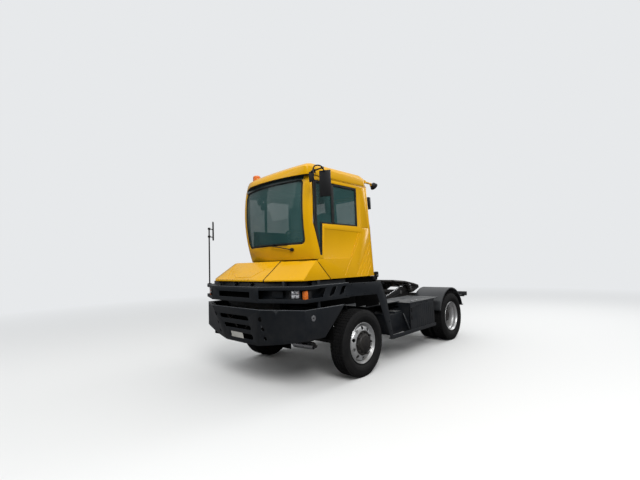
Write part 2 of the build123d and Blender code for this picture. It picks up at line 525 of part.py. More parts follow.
# rear mudguards: bent over the twin wheels, with brackets to the rails
GUARD_R = TYRE_R + 80
GUARD_MID = (AXLE_R + 30, TYRE_R + 35)
GUARD_LOW = 670.0
GUARD_T = 8.0
with BuildPart() as mudguards:
    with BuildSketch(Plane(origin=(0, 590, 0), x_dir=(1, 0, 0), z_dir=(0, -1, 0))) as s:
        with Locations(GUARD_MID):
            Circle(GUARD_R)
            Circle(GUARD_R - GUARD_T, mode=Mode.SUBTRACT)
        with Locations((AXLE_R, 0)):
            Rectangle(3000, 2 * GUARD_LOW, mode=Mode.SUBTRACT)
    extrude(s.sketch, amount=-(SIDE_Y + 10 - 590))
    # turned-down outer rim
    with BuildSketch(Plane(origin=(0, SIDE_Y + 4, 0), x_dir=(1, 0, 0), z_dir=(0, -1, 0))) as s:
        with Locations(GUARD_MID):
            Circle(GUARD_R)
            Circle(GUARD_R - 26, mode=Mode.SUBTRACT)
        with Locations((AXLE_R, 0)):
            Rectangle(3000, 2 * GUARD_LOW, mode=Mode.SUBTRACT)
    extrude(s.sketch, amount=-6)
    # rear lip
    gx = GUARD_MID[0] - sqrt(GUARD_R ** 2 - (GUARD_LOW - GUARD_MID[1]) ** 2)
    side([(gx + 3, GUARD_LOW), (gx - 52, GUARD_LOW + 10), (gx - 52, GUARD_LOW + 18), (gx + 3, GUARD_LOW + 9)],
         590, SIDE_Y + 10)
    for x in (AXLE_R - 120, AXLE_R + 120):
        reach = max(abs(x - 25 - GUARD_MID[0]), abs(x + 25 - GUARD_MID[0]))
        under = GUARD_MID[1] + sqrt((GUARD_R - GUARD_T) ** 2 - reach ** 2)
        box(x - 25, x + 25, RAIL_OUT + SEAT, 620, RAIL_Z1 - 40, RAIL_Z1)
        box(x - 25, x + 25, 592, 620, RAIL_Z1 - 20, under + 6)
    mirror(about=Plane.XZ)
mudguards.part.label = "mudguards"
export_step(mudguards.part, "parts/mudguards.step")

# rear lamps on a cross arm behind the mudguards
with BuildPart() as rear_lamps:
    box(TAIL_X, RAIL_REAR - 40 - SEAT, RAIL_OUT - 60, 760, 820, 862)
    box(TAIL_X + 12, TAIL_X + 52, 700, SIDE_Y - 60, 830, 858)
    plate(Plane(origin=(0, SIDE_Y - 290, 0), x_dir=(1, 0, 0), z_dir=(0, -1, 0)),
          [(TAIL_X, 902), (TAIL_X + 14, 850), (TAIL_X + 74, 862), (TAIL_X + 60, 932), (TAIL_X + 4, 944)],
          -285)
    # stay to the mudguard's outside
    stay_x = GUARD_MID[0] - sqrt(GUARD_R ** 2 - (880 - 11 - GUARD_MID[1]) ** 2) - SEAT
    bar((TAIL_X + 60, SIDE_Y - 70, 880), (stay_x, SIDE_Y - 70, 880), 11)
    mirror(about=Plane.XZ)
rear_lamps.part.label = "rear_lamps"
export_step(rear_lamps.part, "parts/rear_lamps.step")

# air cleaner and exhaust stack behind the right of the cab
STACK = (CAB_REAR_LOW - 146, CAB_R - 350)
with BuildPart() as air_stack:
    box(CAB_REAR_LOW - 346, CAB_REAR_LOW - 46, -950, CAB_R - 200, DECK_Z + 12 + SEAT, CAB_Z0 + 30)
    bar((*STACK, CAB_Z0 + 25), (*STACK, BELT + 200), 65)
    bar((*STACK, BELT + 200), (*STACK, BELT + 275), 42)
air_stack.part.label = "air_stack"
export_step(air_stack.part, "parts/air_stack.step")


# cab front: right corner, middle and left corner at the foot and the head, and how far each bows out
CAB_FEET = (CAB_FRONT - 55, CAB_FRONT + 140, CAB_FRONT)
CAB_HEADS = (CAB_FRONT + 40, CAB_FRONT + 200, CAB_FRONT + 40)
CAB_BOWS = (78.0, 62.0, 53.0)
CAB_SPANS = 8
CAB_BACK = CAB_REAR_LOW + 94
CORNER_R = 95.0


def cab_section(z, xr, xm, xl, t):
    # plan of the cab at one height, moved inwards by t
    with BuildSketch(Plane.XY.offset(z)) as s:
        with BuildLine():
            Line((CAB_BACK, CAB_R + t), (xr - t, CAB_R + t))
            ThreePointArc((xr - t, CAB_R + t), (xm - t, CAB_MID), (xl - t, CAB_L - t))
            Line((xl - t, CAB_L - t), (CAB_BACK, CAB_L - t))
            Line((CAB_BACK, CAB_L - t), (CAB_BACK, CAB_R + t))
        make_face()
        fillet([v for v in s.vertices() if v.X > CAB_BACK + 500], CORNER_R - t / 2)
    return s.sketch.faces()[0]


def cab_station(k):
    # height and front outline at the share k of the way up
    xs = [foot + (head - foot) * k + 4 * bow * k * (1 - k)
          for foot, head, bow in zip(CAB_FEET, CAB_HEADS, CAB_BOWS)]
    return (CAB_BASE + (GUTTER - CAB_BASE) * k, *xs)


def cab_body(t):
    loft([cab_section(*cab_station(i / CAB_SPANS), t) for i in range(CAB_SPANS + 1)], ruled=True)


def rear_x(z):
    return CAB_REAR_LOW + (CAB_REAR_HIGH - CAB_REAR_LOW) * (z - CAB_Z0) / (GUTTER - CAB_Z0)


WIN_TOP = GUTTER - 62
WIN_REAR = CAB_REAR_LOW + 379
SIDE_WINDOW = [(CAB_FRONT + 40, WIN_TOP), (CAB_FRONT + 50, BELT + 5), (CAB_FRONT - 70, CAB_BASE + 50),
               (CAB_FRONT - 105, CAB_BASE + 50), (CAB_FRONT - 120, BELT), (WIN_REAR, BELT),
               (WIN_REAR, WIN_TOP)]
WS_Y = (CAB_R + 130, CAB_L - 125)
WS_Z = (CAB_BASE + 205, GUTTER - 35)


def windscreen_cut(grow, mode):
    with BuildSketch(Plane(origin=(NOSE_X, 0, 0), x_dir=(0, 1, 0), z_dir=(1, 0, 0))) as s:
        with Locations(((WS_Y[0] + WS_Y[1]) / 2, (WS_Z[0] + WS_Z[1]) / 2)):
            RectangleRounded(WS_Y[1] - WS_Y[0] + 2 * grow, WS_Z[1] - WS_Z[0] + 2 * grow, 70)
    extrude(s.sketch, amount=-(NOSE_X - FRONT_SPLIT - 20), mode=mode)


# cab front: lower panel, corner pillars and header, windscreen cut out
with BuildPart() as cab_front:
    cab_body(0)
    with BuildPart(mode=Mode.PRIVATE) as inner:
        cab_body(CAB_WALL)
    add(inner.part, mode=Mode.SUBTRACT)
    split(bisect_by=Plane.YZ.offset(FRONT_SPLIT + SEAT), keep=Keep.TOP)
    windscreen_cut(0, Mode.SUBTRACT)
    side(SIDE_WINDOW, CAB_R - 20, CAB_L + 20, Mode.SUBTRACT)
cab_front.part.label = "cab_front"
export_step(cab_front.part, "parts/cab_front.step")

# windscreen, thin and curved, seated in the opening
with BuildPart() as windscreen:
    cab_body(14)
    with BuildPart(mode=Mode.PRIVATE) as inner:
        cab_body(20)
    add(inner.part, mode=Mode.SUBTRACT)
    split(bisect_by=Plane.YZ.offset(FRONT_SPLIT + 30), keep=Keep.TOP)
    windscreen_cut(-SEAT, Mode.INTERSECT)
windscreen.part.label = "windscreen"
export_step(windscreen.part, "parts/windscreen.step")

# cab side walls: sloped lower front edge, a recessed panel and pressed ribs behind it
TOE = CAB_FRONT - 260
PANEL = [(CAB_FRONT - 165, BELT - 67), (CAB_REAR_LOW + 301, BELT - 85), (CAB_REAR_LOW + 539, CAB_BASE + 7),
         (FRONT_SPLIT - 8, CAB_BASE + 7)]
# pressed lines: start and end as distance ahead of the low rear corner and height over the cab's underside
CREASES = ((87, 520, 429, 14), (72, 440, 334, 9), (56, 332, 259, 6), (42, 224, 182, 2),
           (84, BELT - CAB_Z0 - 14, 293, BELT - CAB_Z0 - 8), (267, 676, 539, 300),
           (274, WIN_TOP - CAB_Z0 + 19, 305, BELT - CAB_Z0 - 3))
for label, y0, y1, nose, sgn in (("cab_left", CAB_L - CAB_WALL, CAB_L, CAB_FRONT - 25, 1),
                                 ("cab_right", CAB_R, CAB_R + CAB_WALL, CAB_FRONT - 85, -1)):
    face_y = y1 if sgn > 0 else y0
    with BuildPart() as wall:
        side([(FRONT_SPLIT, GUTTER), (rear_x(GUTTER) + CAB_WALL + SEAT, GUTTER),
              (rear_x(CAB_Z0) + CAB_WALL + SEAT, CAB_Z0), (TOE, CAB_Z0), (nose, CAB_Z0 + nose - TOE),
              (nose, CAB_BASE - SEAT), (FRONT_SPLIT, CAB_BASE - SEAT)], y0, y1)
        side(SIDE_WINDOW, y0 - 5, y1 + 5, Mode.SUBTRACT)
        side(PANEL, face_y - sgn * 5, face_y + sgn * 5, Mode.SUBTRACT)
        for xa, za, xb, zb in CREASES:
            line = strip((CAB_REAR_LOW + xa, CAB_Z0 + za), (CAB_REAR_LOW + xb, CAB_Z0 + zb), 8)
            side(line, face_y - sgn * 3, face_y + sgn * 5, Mode.SUBTRACT)
    wall.part.label = label
    export_step(wall.part, f"parts/{label}.step")

# cab rear wall with the door opening, a window and the door's rails
WALL_CUT = (CAB_REAR_LOW - 110, CAB_REAR_HIGH + 170)
REAR_WIN_Y = (CAB_R + 80, DOOR_Y[0] - 110)
DOOR_RAIL_Z = DOOR_Z[1] + 42
SILL_Z = DOOR_Z[0] - 44
DOOR_END = DOOR_Y[1] + 60
with BuildPart() as cab_rear:
    side([(rear_x(CAB_Z0), CAB_Z0), (rear_x(CAB_Z0) + CAB_WALL, CAB_Z0),
          (rear_x(GUTTER) + CAB_WALL, GUTTER), (rear_x(GUTTER), GUTTER)], CAB_R, CAB_L)
    box(*WALL_CUT, *DOOR_Y, *DOOR_Z, Mode.SUBTRACT)
    box(*WALL_CUT, *REAR_WIN_Y, BELT, DOOR_Z[1], Mode.SUBTRACT)
    for z in (DOOR_RAIL_Z, SILL_Z):
        box(rear_x(z) - 50, rear_x(z) + 10, CAB_R + 70, DOOR_END, z - 4, z + 4)
cab_rear.part.label = "cab_rear"
export_step(cab_rear.part, "parts/cab_rear.step")

# glass in the side walls and the rear wall
with BuildPart() as cab_glass:
    for y in (CAB_L - 26, CAB_R + 20):
        with BuildPart(mode=Mode.PRIVATE) as pane:
            side(SIDE_WINDOW, y, y + 6)
            split(bisect_by=Plane.YZ.offset(FRONT_SPLIT - 0.5), keep=Keep.BOTTOM)
        add(pane.part)
    with BuildPart(mode=Mode.PRIVATE) as pane:
        side([(rear_x(BELT) + 18, BELT), (rear_x(BELT) + 24, BELT), (rear_x(DOOR_Z[1]) + 24, DOOR_Z[1]),
              (rear_x(DOOR_Z[1]) + 18, DOOR_Z[1])], *REAR_WIN_Y)
    add(pane.part)
cab_glass.part.label = "cab_glass"
export_step(cab_glass.part, "parts/cab_glass.step")

# rear door that slides towards the right outside the rear wall, with its glass
DOOR_T = 32.0
DOOR_OFF = 8.0
DOOR_LAP = 30.0
DOOR_FRAME = 50.0
PANES = ((BELT, DOOR_Z[1] - DOOR_FRAME), (DOOR_Z[0] + 100, BELT - 90))
with BuildPart() as rear_door:
    z0, z1 = DOOR_Z[0] - DOOR_LAP, DOOR_Z[1] + DOOR_LAP
    side([(rear_x(z0) - DOOR_OFF - DOOR_T, z0), (rear_x(z0) - DOOR_OFF, z0), (rear_x(z1) - DOOR_OFF, z1),
          (rear_x(z1) - DOOR_OFF - DOOR_T, z1)], DOOR_Y[0] - DOOR_LAP, DOOR_Y[1] + DOOR_LAP)
    for z0, z1 in PANES:
        box(*WALL_CUT, DOOR_Y[0] + DOOR_FRAME, DOOR_Y[1] - DOOR_FRAME, z0, z1, Mode.SUBTRACT)
    rx = rear_x(DOOR_RAIL_Z)
    for y in (DOOR_Y[0] + 40, DOOR_Y[1] - 120):
        box(rx - 66, rx - 40, y, y + 80, DOOR_Z[1] - 20, DOOR_Z[1] + 26)
        box(rx - 66, rx - 54, y, y + 80, DOOR_Z[1] - 20, DOOR_RAIL_Z + 18)
        box(rx - 66, rx - 20, y, y + 80, DOOR_RAIL_Z + 4 + SEAT, DOOR_RAIL_Z + 18)
rear_door.part.label = "rear_door"
export_step(rear_door.part, "parts/rear_door.step")
with BuildPart() as door_glass:
    for z0, z1 in PANES:
        xo = -DOOR_OFF - DOOR_T / 2
        side([(rear_x(z0) + xo - 3, z0), (rear_x(z0) + xo + 3, z0), (rear_x(z1) + xo + 3, z1),
              (rear_x(z1) + xo - 3, z1)], DOOR_Y[0] + DOOR_FRAME, DOOR_Y[1] - DOOR_FRAME)
door_glass.part.label = "door_glass"
export_step(door_glass.part, "parts/door_glass.step")

# cab roof with a visor over the windscreen
ROOF_REAR = CAB_REAR_LOW + 104
EAVE = 12.0


def roof_section(xr, xc, xm, z, t):
    with BuildSketch(Plane.XY.offset(z)) as s:
        with BuildLine():
            Line((xr + t, CAB_R - EAVE + t), (xc - t, CAB_R - EAVE + t))
            ThreePointArc((xc - t, CAB_R - EAVE + t), (xm - t, CAB_MID), (xc - t, CAB_L + EAVE - t))
            Line((xc - t, CAB_L + EAVE - t), (xr + t, CAB_L + EAVE - t))
            Line((xr + t, CAB_L + EAVE - t), (xr + t, CAB_R - EAVE + t))
        make_face()
        fillet(s.vertices(), 90)
    return s.sketch.faces()[0]


with BuildPart() as cab_roof:
    loft([roof_section(ROOF_REAR, CAB_FRONT + 125, CAB_FRONT + 265, GUTTER + SEAT, 0),
          roof_section(ROOF_REAR, CAB_FRONT + 115, CAB_FRONT + 255, ROOF_TOP - 55, 8),
          roof_section(ROOF_REAR, CAB_FRONT + 85, CAB_FRONT + 225, ROOF_TOP, 60)], ruled=True)
    with BuildPart(mode=Mode.PRIVATE) as inner:
        loft([roof_section(ROOF_REAR + 50, CAB_FRONT + 5, CAB_FRONT + 155, GUTTER - 5, 60),
              roof_section(ROOF_REAR + 50, CAB_FRONT - 5, CAB_FRONT + 145, ROOF_TOP - 50, 80)], ruled=True)
    add(inner.part, mode=Mode.SUBTRACT)
cab_roof.part.label = "cab_roof"
export_step(cab_roof.part, "parts/cab_roof.step")

# cab floor pan with the bulkhead at the feet
FLOOR_TOP = CAB_Z0 + 40
INSIDE_Y = (CAB_R + CAB_WALL + SEAT, CAB_L - CAB_WALL - SEAT)
BULKHEAD = FRONT_SPLIT - 10
with BuildPart() as cab_floor:
    box(rear_x(CAB_Z0) + CAB_WALL + 6, BULKHEAD, *INSIDE_Y, CAB_Z0, FLOOR_TOP)
    box(BULKHEAD, BULKHEAD + 40, *INSIDE_Y, CAB_Z0, CAB_BASE - SEAT)
    box(BULKHEAD + 40, CAB_FRONT - 65, INSIDE_Y[0] + 30, INSIDE_Y[1] - 30, CAB_BASE - 40, CAB_BASE - SEAT)
cab_floor.part.label = "cab_floor"
export_step(cab_floor.part, "parts/cab_floor.step")

# seat: cushion, leaning back and pedestal
SEAT_X = CAB_REAR_LOW + 274
SEAT_Y = (CAB_L - 1020, CAB_L - 500)
CUSHION = (FLOOR_TOP + 250, FLOOR_TOP + 390)
DRIVER_Y = (SEAT_Y[0] + SEAT_Y[1]) / 2
with BuildPart() as seat:
    box(SEAT_X, SEAT_X + 520, *SEAT_Y, *CUSHION)
    side([(SEAT_X, CUSHION[1] - 20), (SEAT_X + 140, CUSHION[1]), (SEAT_X + 50, BELT + 335),
          (SEAT_X - 70, BELT + 315)], SEAT_Y[0] + 10, SEAT_Y[1] - 10)
    box(SEAT_X + 120, SEAT_X + 420, DRIVER_Y - 160, DRIVER_Y + 160, FLOOR_TOP + SEAT, CUSHION[0])
seat.part.label = "seat"
export_step(seat.part, "parts/seat.step")

# dashboard with the steering column and wheel
DASH_Y = (CAB_R + 180, CAB_L - 100)
COLUMN = ((CAB_FRONT - 215, CAB_BASE + 55), (CAB_FRONT - 375, CAB_BASE + 335))
with BuildPart() as dashboard:
    box(CAB_FRONT - 215, CAB_FRONT - 50, *DASH_Y, CAB_BASE + SEAT, CAB_BASE + 155)
    box(BULKHEAD - 150, BULKHEAD - SEAT, *DASH_Y, FLOOR_TOP + SEAT, CAB_BASE + 55)
    (ax, az), (wx, wz) = COLUMN
    bar((ax, DRIVER_Y, az), (wx, DRIVER_Y, wz), 35)
    with BuildSketch(Plane(origin=(wx, DRIVER_Y, wz), z_dir=(wx - ax, 0, wz - az))) as s:
        Circle(220)
        Circle(190, mode=Mode.SUBTRACT)
        Rectangle(400, 40)
    extrude(s.sketch, amount=25)
dashboard.part.label = "dashboard"
export_step(dashboard.part, "parts/dashboard.step")


def mirror_head(x, y, z0, z1, w, nx, ny):
    # upright glass housing that faces along nx, ny
    with BuildSketch(Plane(origin=(x, y, z0), x_dir=(-ny, nx, 0), z_dir=(0, 0, 1))) as s:
        Rectangle(w, 25)
    extrude(s.sketch, amount=z1 - z0)


# mirrors: two on a bent tube at the cab's left, one on a post at the right
with BuildPart() as mirrors:
    ty = MIRROR_Y - 77
    mx = CAB_FRONT - 25
    mirror_head(mx, MIRROR_Y - 82.3, GUTTER - 340, GUTTER + 50, 170, -0.905, -0.425)
    mirror_head(mx + 225, ty - 30, GUTTER - 160, GUTTER - 5, 90, -1, 0)
    loop = [(mx + 234, GUTTER - 16), (mx + 195, GUTTER + 58), (mx + 96, GUTTER + 80), (mx + 41, GUTTER + 57),
            (mx + 10, GUTTER + 19)]
    for (xa, za), (xb, zb) in zip(loop[:-1], loop[1:]):
        bar((xa, ty, za), (xb, ty, zb), 9)
    bar((mx + 41, CAB_L + EAVE - 4, GUTTER + 57), (mx + 41, ty, GUTTER + 57), 9)
    (fx, fy), (hx, hy) = MIRROR_POST
    top_z = GUTTER - 480
    bar((fx, fy, BAND_Z1 + 4), (hx, hy, top_z), 12)
    bar((fx, fy, BAND_Z1 + SEAT), (fx, fy, BAND_Z1 + 16), 24)
    head_y = -(MIRROR_Y - 92.8)
    mirror_head(CAB_FRONT + 71, head_y, GUTTER - 697, GUTTER - 363, 200, -0.865, 0.5)
    for z in (GUTTER - 640, top_z - 20):
        k = (z - BAND_Z1) / (top_z - BAND_Z1)
        bar((fx + (hx - fx) * k, fy + (hy - fy) * k, z), (CAB_FRONT + 71, head_y, z), 8)
mirrors.part.label = "mirrors"
export_step(mirrors.part, "parts/mirrors.step")

# rear work lamp on its bracket and a control box on the rear wall
with BuildPart() as work_lamps:
    box(ROOF_REAR - 140, ROOF_REAR + 2.4, CAB_L - 100, CAB_L - 60, GUTTER + 30, GUTTER + 50)
    box(ROOF_REAR - 160, ROOF_REAR - 110, CAB_L - 120, CAB_L, GUTTER - 10, GUTTER + 90)
    z0, z1 = GUTTER - 350, GUTTER - 150
    side([(rear_x(z0) - 60, z0), (rear_x(z0) - SEAT, z0), (rear_x(z1) - SEAT, z1), (rear_x(z1) - 60, z1)],
         DOOR_END + 5, DOOR_END + 105)
work_lamps.part.label = "work_lamps"
export_step(work_lamps.part, "parts/work_lamps.step")

# hood over the front and along the right of the cab: six flat or ruled facets in plan order
HOOD_LOW = [(CAB_REAR_LOW, -SIDE_Y + 60), (HOOD_NOSE - 325, -SIDE_Y + 60), (HOOD_NOSE, -590),
            (HOOD_NOSE, 645), (HOOD_NOSE - 215, CAB_L - 5), (CAB_REAR_LOW, CAB_L - 5)]
HOOD_HIGH = [(CAB_REAR_LOW, -SIDE_Y + 220), (HOOD_NOSE - 625, -SIDE_Y + 220), (HOOD_NOSE - 315, -456),
             (HOOD_NOSE - 315, 640), (HOOD_NOSE - 455, CAB_L - 5), (CAB_REAR_LOW, CAB_L - 5)]


def hood_form(t):
    # flange, slopes and flat top, moved inwards by t
    low, high = (inset(HOOD_LOW, 1.7 * t), inset(HOOD_HIGH, 1.6 * t)) if t else (HOOD_LOW, HOOD_HIGH)
    k = 1 - t / (HOOD_TOP - HOOD_FLANGE)
    high = [(a[0] + (b[0] - a[0]) * k, a[1] + (b[1] - a[1]) * k) for a, b in zip(low, high)]
    with BuildPart(mode=Mode.PRIVATE) as form:
        ring(low, low, HOOD_Z0 - (1 if t else 0), HOOD_FLANGE)
        ring(low, high, HOOD_FLANGE, HOOD_TOP - t)
    return form.part


def cab_room():
    # room for the cab, with the seam along its sloped front edge
    x0 = TOE - CAB_Z0 + GAP * 2 ** 0.5
    cut = (CAB_R - GAP - 20, CAB_L + 20)
    side([(WALL_CUT[0], HOOD_Z0 - 268), (x0 + HOOD_Z0 - 268, HOOD_Z0 - 268),
          (x0 + HOOD_TOP + 12, HOOD_TOP + 12), (x0 + HOOD_TOP + 12, HOOD_TOP + 160),
          (WALL_CUT[0], HOOD_TOP + 160)], *cut, Mode.SUBTRACT)
    box(FRONT_SPLIT - 60, CAB_FRONT + 155, *cut, HOOD_TOP - 10, HOOD_TOP + 160, Mode.SUBTRACT)


with BuildPart() as hood_skirt:
    add(hood_form(0))
    add(hood_form(HOOD_T), mode=Mode.SUBTRACT)
    cab_room()
    split(bisect_by=Plane.XZ.offset(-(SEAM_Y + GAP / 2)), keep=Keep.BOTTOM)
hood_skirt.part.label = "hood_skirt"
export_step(hood_skirt.part, "parts/hood_skirt.step")
with BuildPart() as hood_lid:
    add(hood_form(0))
    add(hood_form(HOOD_T), mode=Mode.SUBTRACT)
    cab_room()
    split(bisect_by=Plane.XZ.offset(-(SEAM_Y - GAP / 2)), keep=Keep.TOP)
    hx, hz = HINGE
    for y in HINGE_Y:
        box(hx - 14, hx + 14, y - 28, y - 4, hz - 14, HOOD_FLANGE + 4)
        box(hx + 10, HOOD_NOSE - 4, y - 28, y - 4, HOOD_Z0 + 4, HOOD_FLANGE + 4)
        bar((hx, y - 40, hz), (hx, y, hz), HINGE_R + RUN_GAP, Mode.SUBTRACT)
hood_lid.part.label = "hood_lid"
export_step(hood_lid.part, "parts/hood_lid.step")

# lift boom: two arms, cross tubes, pivot pin, the plate's pins and the eye pins of the cylinders
with BuildPart() as lift_boom:
    bx, bz = BOOM_H
    px, pz = PLATE_P
    ex, ez = CYL_E
    side([(bx + 70, bz - 30), (bx + 70, bz + 50), (ex - 10, ez + 72), (px + 310, pz + 50), (px - 60, pz + 45),
          (px - 75, pz - 60), (px - 40, pz - 145), (px + 350, pz - 180), (ex, ez - 75), (bx - 20, bz - 65)],
         *ARM_Y)
    bar((bx, 0, bz), (bx, RAIL_OUT - 12, bz), BOOM_PIN_R)
    bar((ex, 0, ez), (ex, ARM_Y[0] + 5, ez), CYL_PIN_R)
    bar((px + 330, 0, pz - 70), (px + 330, ARM_Y[0] + 5, pz - 70), 55)
    bar((px, ARM_Y[0] - 60, pz), (px, ARM_Y[1] + 60, pz), PLATE_PIN_R)
    mirror(about=Plane.XZ)
lift_boom.part.label = "lift_boom"
export_step(lift_boom.part, "parts/lift_boom.step")

# coupling plate: horseshoe with a throat, on lugs and side gussets over the boom's pins
T_COS, T_SIN = cos(radians(PLATE_TILT)), sin(radians(PLATE_TILT))
tilt = Plane(origin=(PLATE_P[0], 0, PLATE_P[1]), x_dir=(T_COS, 0, T_SIN), z_dir=(-T_SIN, 0, T_COS))
SEMI_PIN_R = 25.6
PLATE_DEEP = 40.0
LUG_TOP = PLATE_UP - PLATE_DEEP + 1
THROAT = SEMI_PIN_R - 0.1
HALF_PLATE = [(440, 240), (300, 430), (-60, 450), (-360, 400), (-400, 200), (-170, 45), (0, THROAT)]
LUG = [(-70, LUG_TOP), (-45, -45), (45, -45), (70, LUG_TOP)]
GUSSET = [(-430, LUG_TOP), (-142, -72), (-45, -95), (60, -60), (160, LUG_TOP)]
with BuildPart() as coupling_plate:
    with BuildSketch(tilt.offset(PLATE_UP - PLATE_DEEP)) as s:
        with BuildLine():
            Polyline(*HALF_PLATE, *[(x, -y) for x, y in reversed(HALF_PLATE)], close=True)
        make_face()
        Circle(SEMI_PIN_R, mode=Mode.SUBTRACT)
    extrude(s.sketch, amount=PLATE_DEEP)
    for sgn in (1, -1):
        for y, outline in ((ARM_Y[0] - 45, LUG), (ARM_Y[1] + 20, GUSSET)):
            with BuildSketch(Plane(origin=(PLATE_P[0], sgn * y, PLATE_P[1]), x_dir=(T_COS, 0, T_SIN),
                                   z_dir=(0, -1, 0))) as s:
                with BuildLine():
                    Polyline(*outline, close=True)
                make_face()
                Circle(PLATE_PIN_R + RUN_GAP, mode=Mode.SUBTRACT)
            extrude(s.sketch, amount=-sgn * 25)
coupling_plate.part.label = "coupling_plate"
export_step(coupling_plate.part, "parts/coupling_plate.step")

# lift cylinders: barrels on the frame's pins, rods up to the boom's pins
cvx, cvz = CYL_E[0] - CYL_B[0], CYL_E[1] - CYL_B[1]
CYL_LEN = hypot(cvx, cvz)
ux, uz = cvx / CYL_LEN, cvz / CYL_LEN
ROD_R = 32.0
BARREL_R = 48.0
BARREL_END = 285.0


def along(d, y):
    return (CYL_B[0] + ux * d, y, CYL_B[1] + uz * d)


with BuildPart() as lift_barrels:
    for sgn in (1, -1):
        y = sgn * CYL_Y
        bar((CYL_B[0], y - 28, CYL_B[1]), (CYL_B[0], y + 28, CYL_B[1]), 48)
        bar(along(20, y), along(BARREL_END, y), BARREL_R)
        bar(along(70, y), along(BARREL_END + 5, y), ROD_R + RUN_GAP, Mode.SUBTRACT)
        bar((CYL_B[0], y - 60, CYL_B[1]), (CYL_B[0], y + 60, CYL_B[1]), CYL_PIN_R + RUN_GAP, Mode.SUBTRACT)
lift_barrels.part.label = "lift_barrels"
export_step(lift_barrels.part, "parts/lift_barrels.step")
with BuildPart() as lift_rods:
    for sgn in (1, -1):
        y = sgn * CYL_Y
        bar(along(110, y), along(CYL_LEN - 25, y), ROD_R)
        bar((CYL_E[0], y - 26, CYL_E[1]), (CYL_E[0], y + 26, CYL_E[1]), 46)
        bar((CYL_E[0], y - 60, CYL_E[1]), (CYL_E[0], y + 60, CYL_E[1]), CYL_PIN_R + EYE_GAP, Mode.SUBTRACT)
lift_rods.part.label = "lift_rods"
export_step(lift_rods.part, "parts/lift_rods.step")
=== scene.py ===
"""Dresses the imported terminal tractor: finishes, rounded panels, wheels, lamps, glass and cab fittings."""
from math import asin, atan2, cos, pi, radians, sin

import bpy
from mathutils import Matrix, Vector


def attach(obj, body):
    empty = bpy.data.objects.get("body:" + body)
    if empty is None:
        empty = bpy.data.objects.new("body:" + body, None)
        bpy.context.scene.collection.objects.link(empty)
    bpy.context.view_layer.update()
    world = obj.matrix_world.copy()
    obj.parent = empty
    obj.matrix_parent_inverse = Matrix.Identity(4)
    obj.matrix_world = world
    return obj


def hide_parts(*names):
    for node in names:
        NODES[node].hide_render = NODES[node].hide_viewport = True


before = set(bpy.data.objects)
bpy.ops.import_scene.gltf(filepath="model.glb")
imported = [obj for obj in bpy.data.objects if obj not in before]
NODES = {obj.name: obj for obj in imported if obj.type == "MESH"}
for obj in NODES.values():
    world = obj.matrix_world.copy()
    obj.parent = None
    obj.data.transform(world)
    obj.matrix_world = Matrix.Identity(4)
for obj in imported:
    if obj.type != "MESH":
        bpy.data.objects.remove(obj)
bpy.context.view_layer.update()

bl_info = {
    "name": "Terminal tractor",
    "version": (1, 0, 0),
    "blender": (4, 5, 0),
    "location": "View3D > Sidebar > Tractor",
    "description": "Builds the visible pieces of a terminal tractor round its packed solids",
    "category": "Object",
}

# the axles, the wheels' radius and middle, and the step between twins, in metres
FRONT_X, REAR_X = 1.25, -1.85
WHEEL_R, WHEEL_Y, TWIN = 0.49, 1.0825, 0.32
# the cab's side faces, the driver's middle, and the windscreen's middle, width and height
CAB_LEFT, CAB_RIGHT, SEAT_Y = 1.2, -0.35, 0.44
SCREEN_MID, SCREEN_WIDE, SCREEN_TALL = (2.35, 0.4275, 2.3925), 1.295, 0.885
# the hood lid's foot, the bodywork's side face, and the coupling plate's pivot and tilt at rest
LID_FOOT, BODY_Y = 1.466, 1.22
PLATE_PIVOT, PLATE_TILT = (-1.6, 0.0, 1.08), radians(11)
# the tyre's tread blocks in one pitch: distance across, width and lean
BLOCKS = ((0, 0.036, 0.25), (0.046, 0.036, -0.2), (-0.046, 0.036, 0.2),
          (0.0915, 0.035, 0), (-0.0915, 0.035, 0))
# the finishes used most
BLACK, STEEL, YELLOW, FRAME = "black_plastic", "body_anthracite", "cab_yellow", "frame_black"
SEAL, SHADE, BRIGHT, CAST = "window_rubber", "shade_black", "bright_metal", "cast_metal"
SILVER, HUB, GREASE, CHEQUER = "rim_silver", "hub_dark", "grease", "chequer_plate"
SKINS = {}


def colour(name, note, value):
    return bpy.props.FloatVectorProperty(name=name, description=note, default=value, size=3, min=0, max=1,
                                         subtype="COLOR")


def length(name, note, value):
    return bpy.props.FloatProperty(name=name, description=note, default=value, min=0, unit="LENGTH")


class TractorColours(bpy.types.PropertyGroup):
    """Colours of the paint, rubber and lamps"""

    cab: colour("Cab paint", "Yellow of the cab and hood", (0.76, 0.395, 0.001))
    steel: colour("Bodywork paint", "Anthracite of the bumper, band and boxes", (0.0075, 0.0095, 0.0125))
    chassis: colour("Chassis paint", "Black of the frame and axles", (0.006, 0.006, 0.0065))
    dust: colour("Dust", "Road dust on ledges and low parts", (0.15, 0.135, 0.115))
    rubber: colour("Tyre rubber", "Black of the tyres", (0.0065, 0.0065, 0.0068))
    rim: colour("Rim paint", "Silver of the rims", (0.56, 0.565, 0.57))
    amber: colour("Indicator lens", "Orange of the indicators and the beacon", (0.9, 0.2, 0.012))
    lens_red: colour("Tail lens", "Red of the tail lamps and reflectors", (0.42, 0.012, 0.01))
    glass: colour("Window glass", "Tint of the windows", (0.034, 0.108, 0.104))
    cloth: colour("Seat cloth", "Dark grey of the seat", (0.018, 0.019, 0.022))
    floor: colour("Studio floor", "Pale floor under the tractor", (0.78, 0.78, 0.77))


